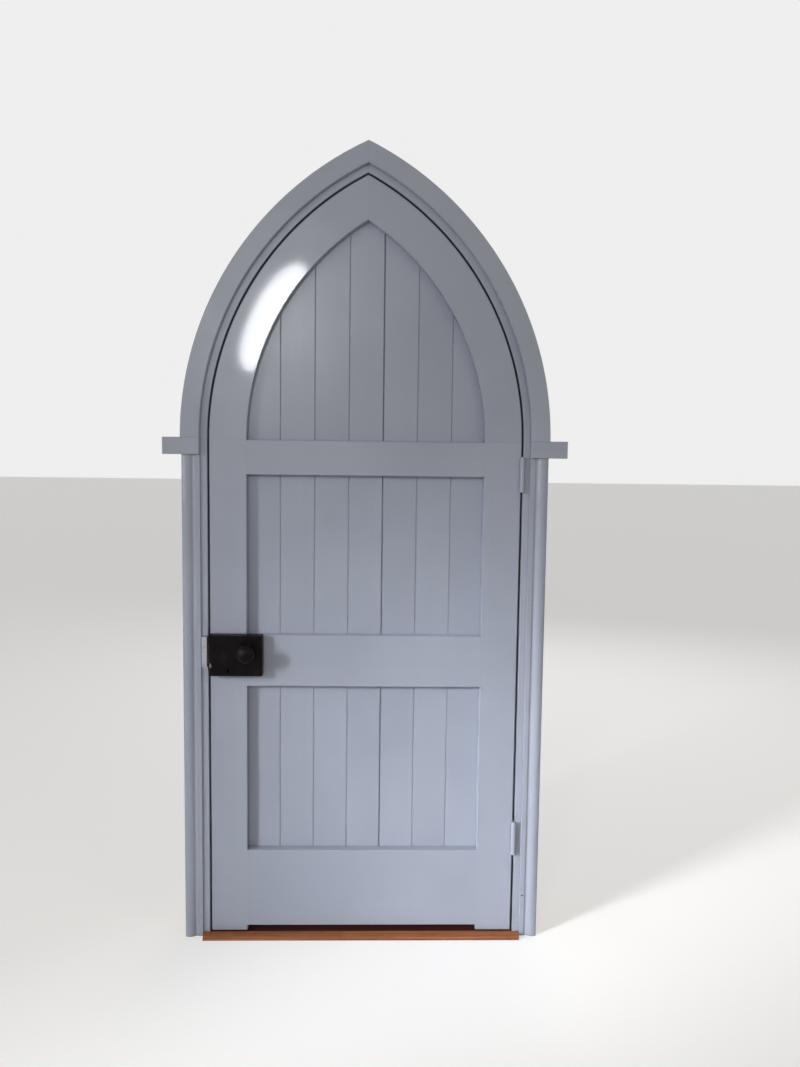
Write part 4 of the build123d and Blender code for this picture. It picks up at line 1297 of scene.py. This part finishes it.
@dataclass(frozen=True)
class Lamp:
    """One soft lamp: where it hangs, what it points at, and its light."""

    name: str
    place: tuple[float, float, float]
    aim: tuple[float, float, float]
    size: tuple[float, float]
    power: float
    colour: Colour
    shape: LampShape = LampShape.RECTANGLE
    turn: float = 0.0
    spread: float = 180.0

    def hang(self) -> bpy.types.Object:
        """Make the lamp.

        Returns:
            The lamp's object.
        """
        light = bpy.data.lights.new(self.name, "AREA")
        light.shape = self.shape.value
        light.size, light.size_y = self.size
        light.energy = self.power
        light.color = self.colour
        light.spread = math.radians(self.spread)
        lamp = bpy.data.objects.new(self.name, light)
        facing = (Vector(self.aim) - Vector(self.place)).to_track_quat("-Z", "Y").to_matrix().to_4x4()
        turned = Matrix.Rotation(math.radians(self.turn), 4, "Z")
        lamp.matrix_world = Matrix.Translation(self.place) @ facing @ turned
        bpy.context.scene.collection.objects.link(lamp)
        return lamp


LAMPS = (
    Lamp("key", (-2.8, -2.35, 1.75), (0.0, 0.0, 1.2), (1.2, 1.6), 20.0, WARM_WHITE),
    Lamp("low_beam", (-2.7, -2.32, 1.5), (0.53, 0.0, 0.22), (0.7, 1.2), 5.0, (0.96, 0.97, 0.99), spread=21.5),
    Lamp("right_fill", (2.4, -2.6, 2.6), (0.35, 0.0, 1.8), (1.6, 1.6), 13.0, (1.0, 0.86, 0.65)),
    Lamp("back_lamp", (1.2, 3.4, 2.9), (0.0, 0.1, 1.1), (2.4, 2.0), 45.0, WARM_WHITE),
    Lamp(
        "tall_lamp",
        (-0.56, -3.09, 2.033),
        GLOW_AIM,
        (0.25, 0.68),
        12.0,
        (0.96, 0.98, 1.0),
        shape=LampShape.ELLIPSE,
        turn=-28.0,
    ),
    Lamp(
        "halo",
        (-0.56, -3.12, 2.033),
        GLOW_AIM,
        (0.9, 1.2),
        1.2,
        (0.9, 0.95, 1.0),
        shape=LampShape.ELLIPSE,
        turn=-20.0,
    ),
)


@dataclass
class Studio:
    """The floor, the lamps and the camera."""

    eye: tuple[float, float, float] = (0.0203, -2.472, 1.335)
    turn_right: float = 1.627
    look_down: float = 5.497
    roll: float = 0.724
    lens: float = 32.1
    sensor: float = 36.0
    floor_reach: float = 30.0
    background: float = 0.86
    ambient: float = 0.22
    ambient_colour: Colour = (1.0, 0.94, 0.87)

    def make(self) -> None:
        """Set up the studio."""
        self._floor()
        self._world()
        for lamp in LAMPS:
            lamp.hang()
        self._camera()

    def _floor(self) -> None:
        """Lay the floor."""
        reach = self.floor_reach
        mesh = bpy.data.meshes.new("floor")
        corners = [(-reach, -reach, 0.0), (reach, -reach, 0.0), (reach, reach, 0.0), (-reach, reach, 0.0)]
        mesh.from_pydata(corners, [], [(0, 1, 2, 3)])
        floor = bpy.data.objects.new("floor", mesh)
        mesh.materials.append(Backdrop().build())
        bpy.context.scene.collection.objects.link(floor)

    def _world(self) -> None:
        """Set the pale background and the soft light from all round."""
        world = bpy.data.worlds.new("studio")
        bpy.context.scene.world = world
        world.use_nodes = True
        graph = Graph(world.node_tree)
        back = next(n for n in world.node_tree.nodes if n.type == "BACKGROUND")
        seen = seen_directly(graph)
        strength = graph.spread(seen, 0.0, 1.0, self.ambient, self.background)
        colour = graph.blend(seen, self.ambient_colour, (1.0, 1.0, 1.0))
        join(graph, back, Strength=strength, Color=colour)

    def _camera(self) -> None:
        """Put the camera where the photograph was taken."""
        data = bpy.data.cameras.new("eye")
        data.lens = self.lens
        data.sensor_width = self.sensor
        camera = bpy.data.objects.new("eye", data)
        turn = Matrix.Rotation(-math.radians(self.turn_right), 4, "Z")
        tilt = Matrix.Rotation(math.radians(90.0 - self.look_down), 4, "X")
        roll = Matrix.Rotation(math.radians(self.roll), 4, "Z")
        camera.matrix_world = Matrix.Translation(self.eye) @ turn @ tilt @ roll
        bpy.context.scene.collection.objects.link(camera)
        bpy.context.scene.camera = camera


def main() -> None:
    """Dress the door piece by piece, and light it."""
    logging.basicConfig(level=logging.INFO, format="%(name)s: %(message)s")
    arch = Arch.from_frame()
    jamb_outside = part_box("right_jamb")[1].x
    leaf_front, leaf_back = (corner.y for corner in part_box("hinge_stile"))
    finishes = Finishes(arch, jamb_outside, jamb_outside + arch.offset, (leaf_front, leaf_back))
    for assembly in (
        Leaf(finishes),
        DoorFrame(finishes),
        Hinges(finishes),
        RimLock(finishes),
        OutsideFurniture(finishes),
        Studio(),
    ):
        assembly.make()
        log.info("%s is done", type(assembly).__name__)
    bpy.context.scene.view_settings.view_transform = "Standard"


if __name__ == "__main__":
    main()
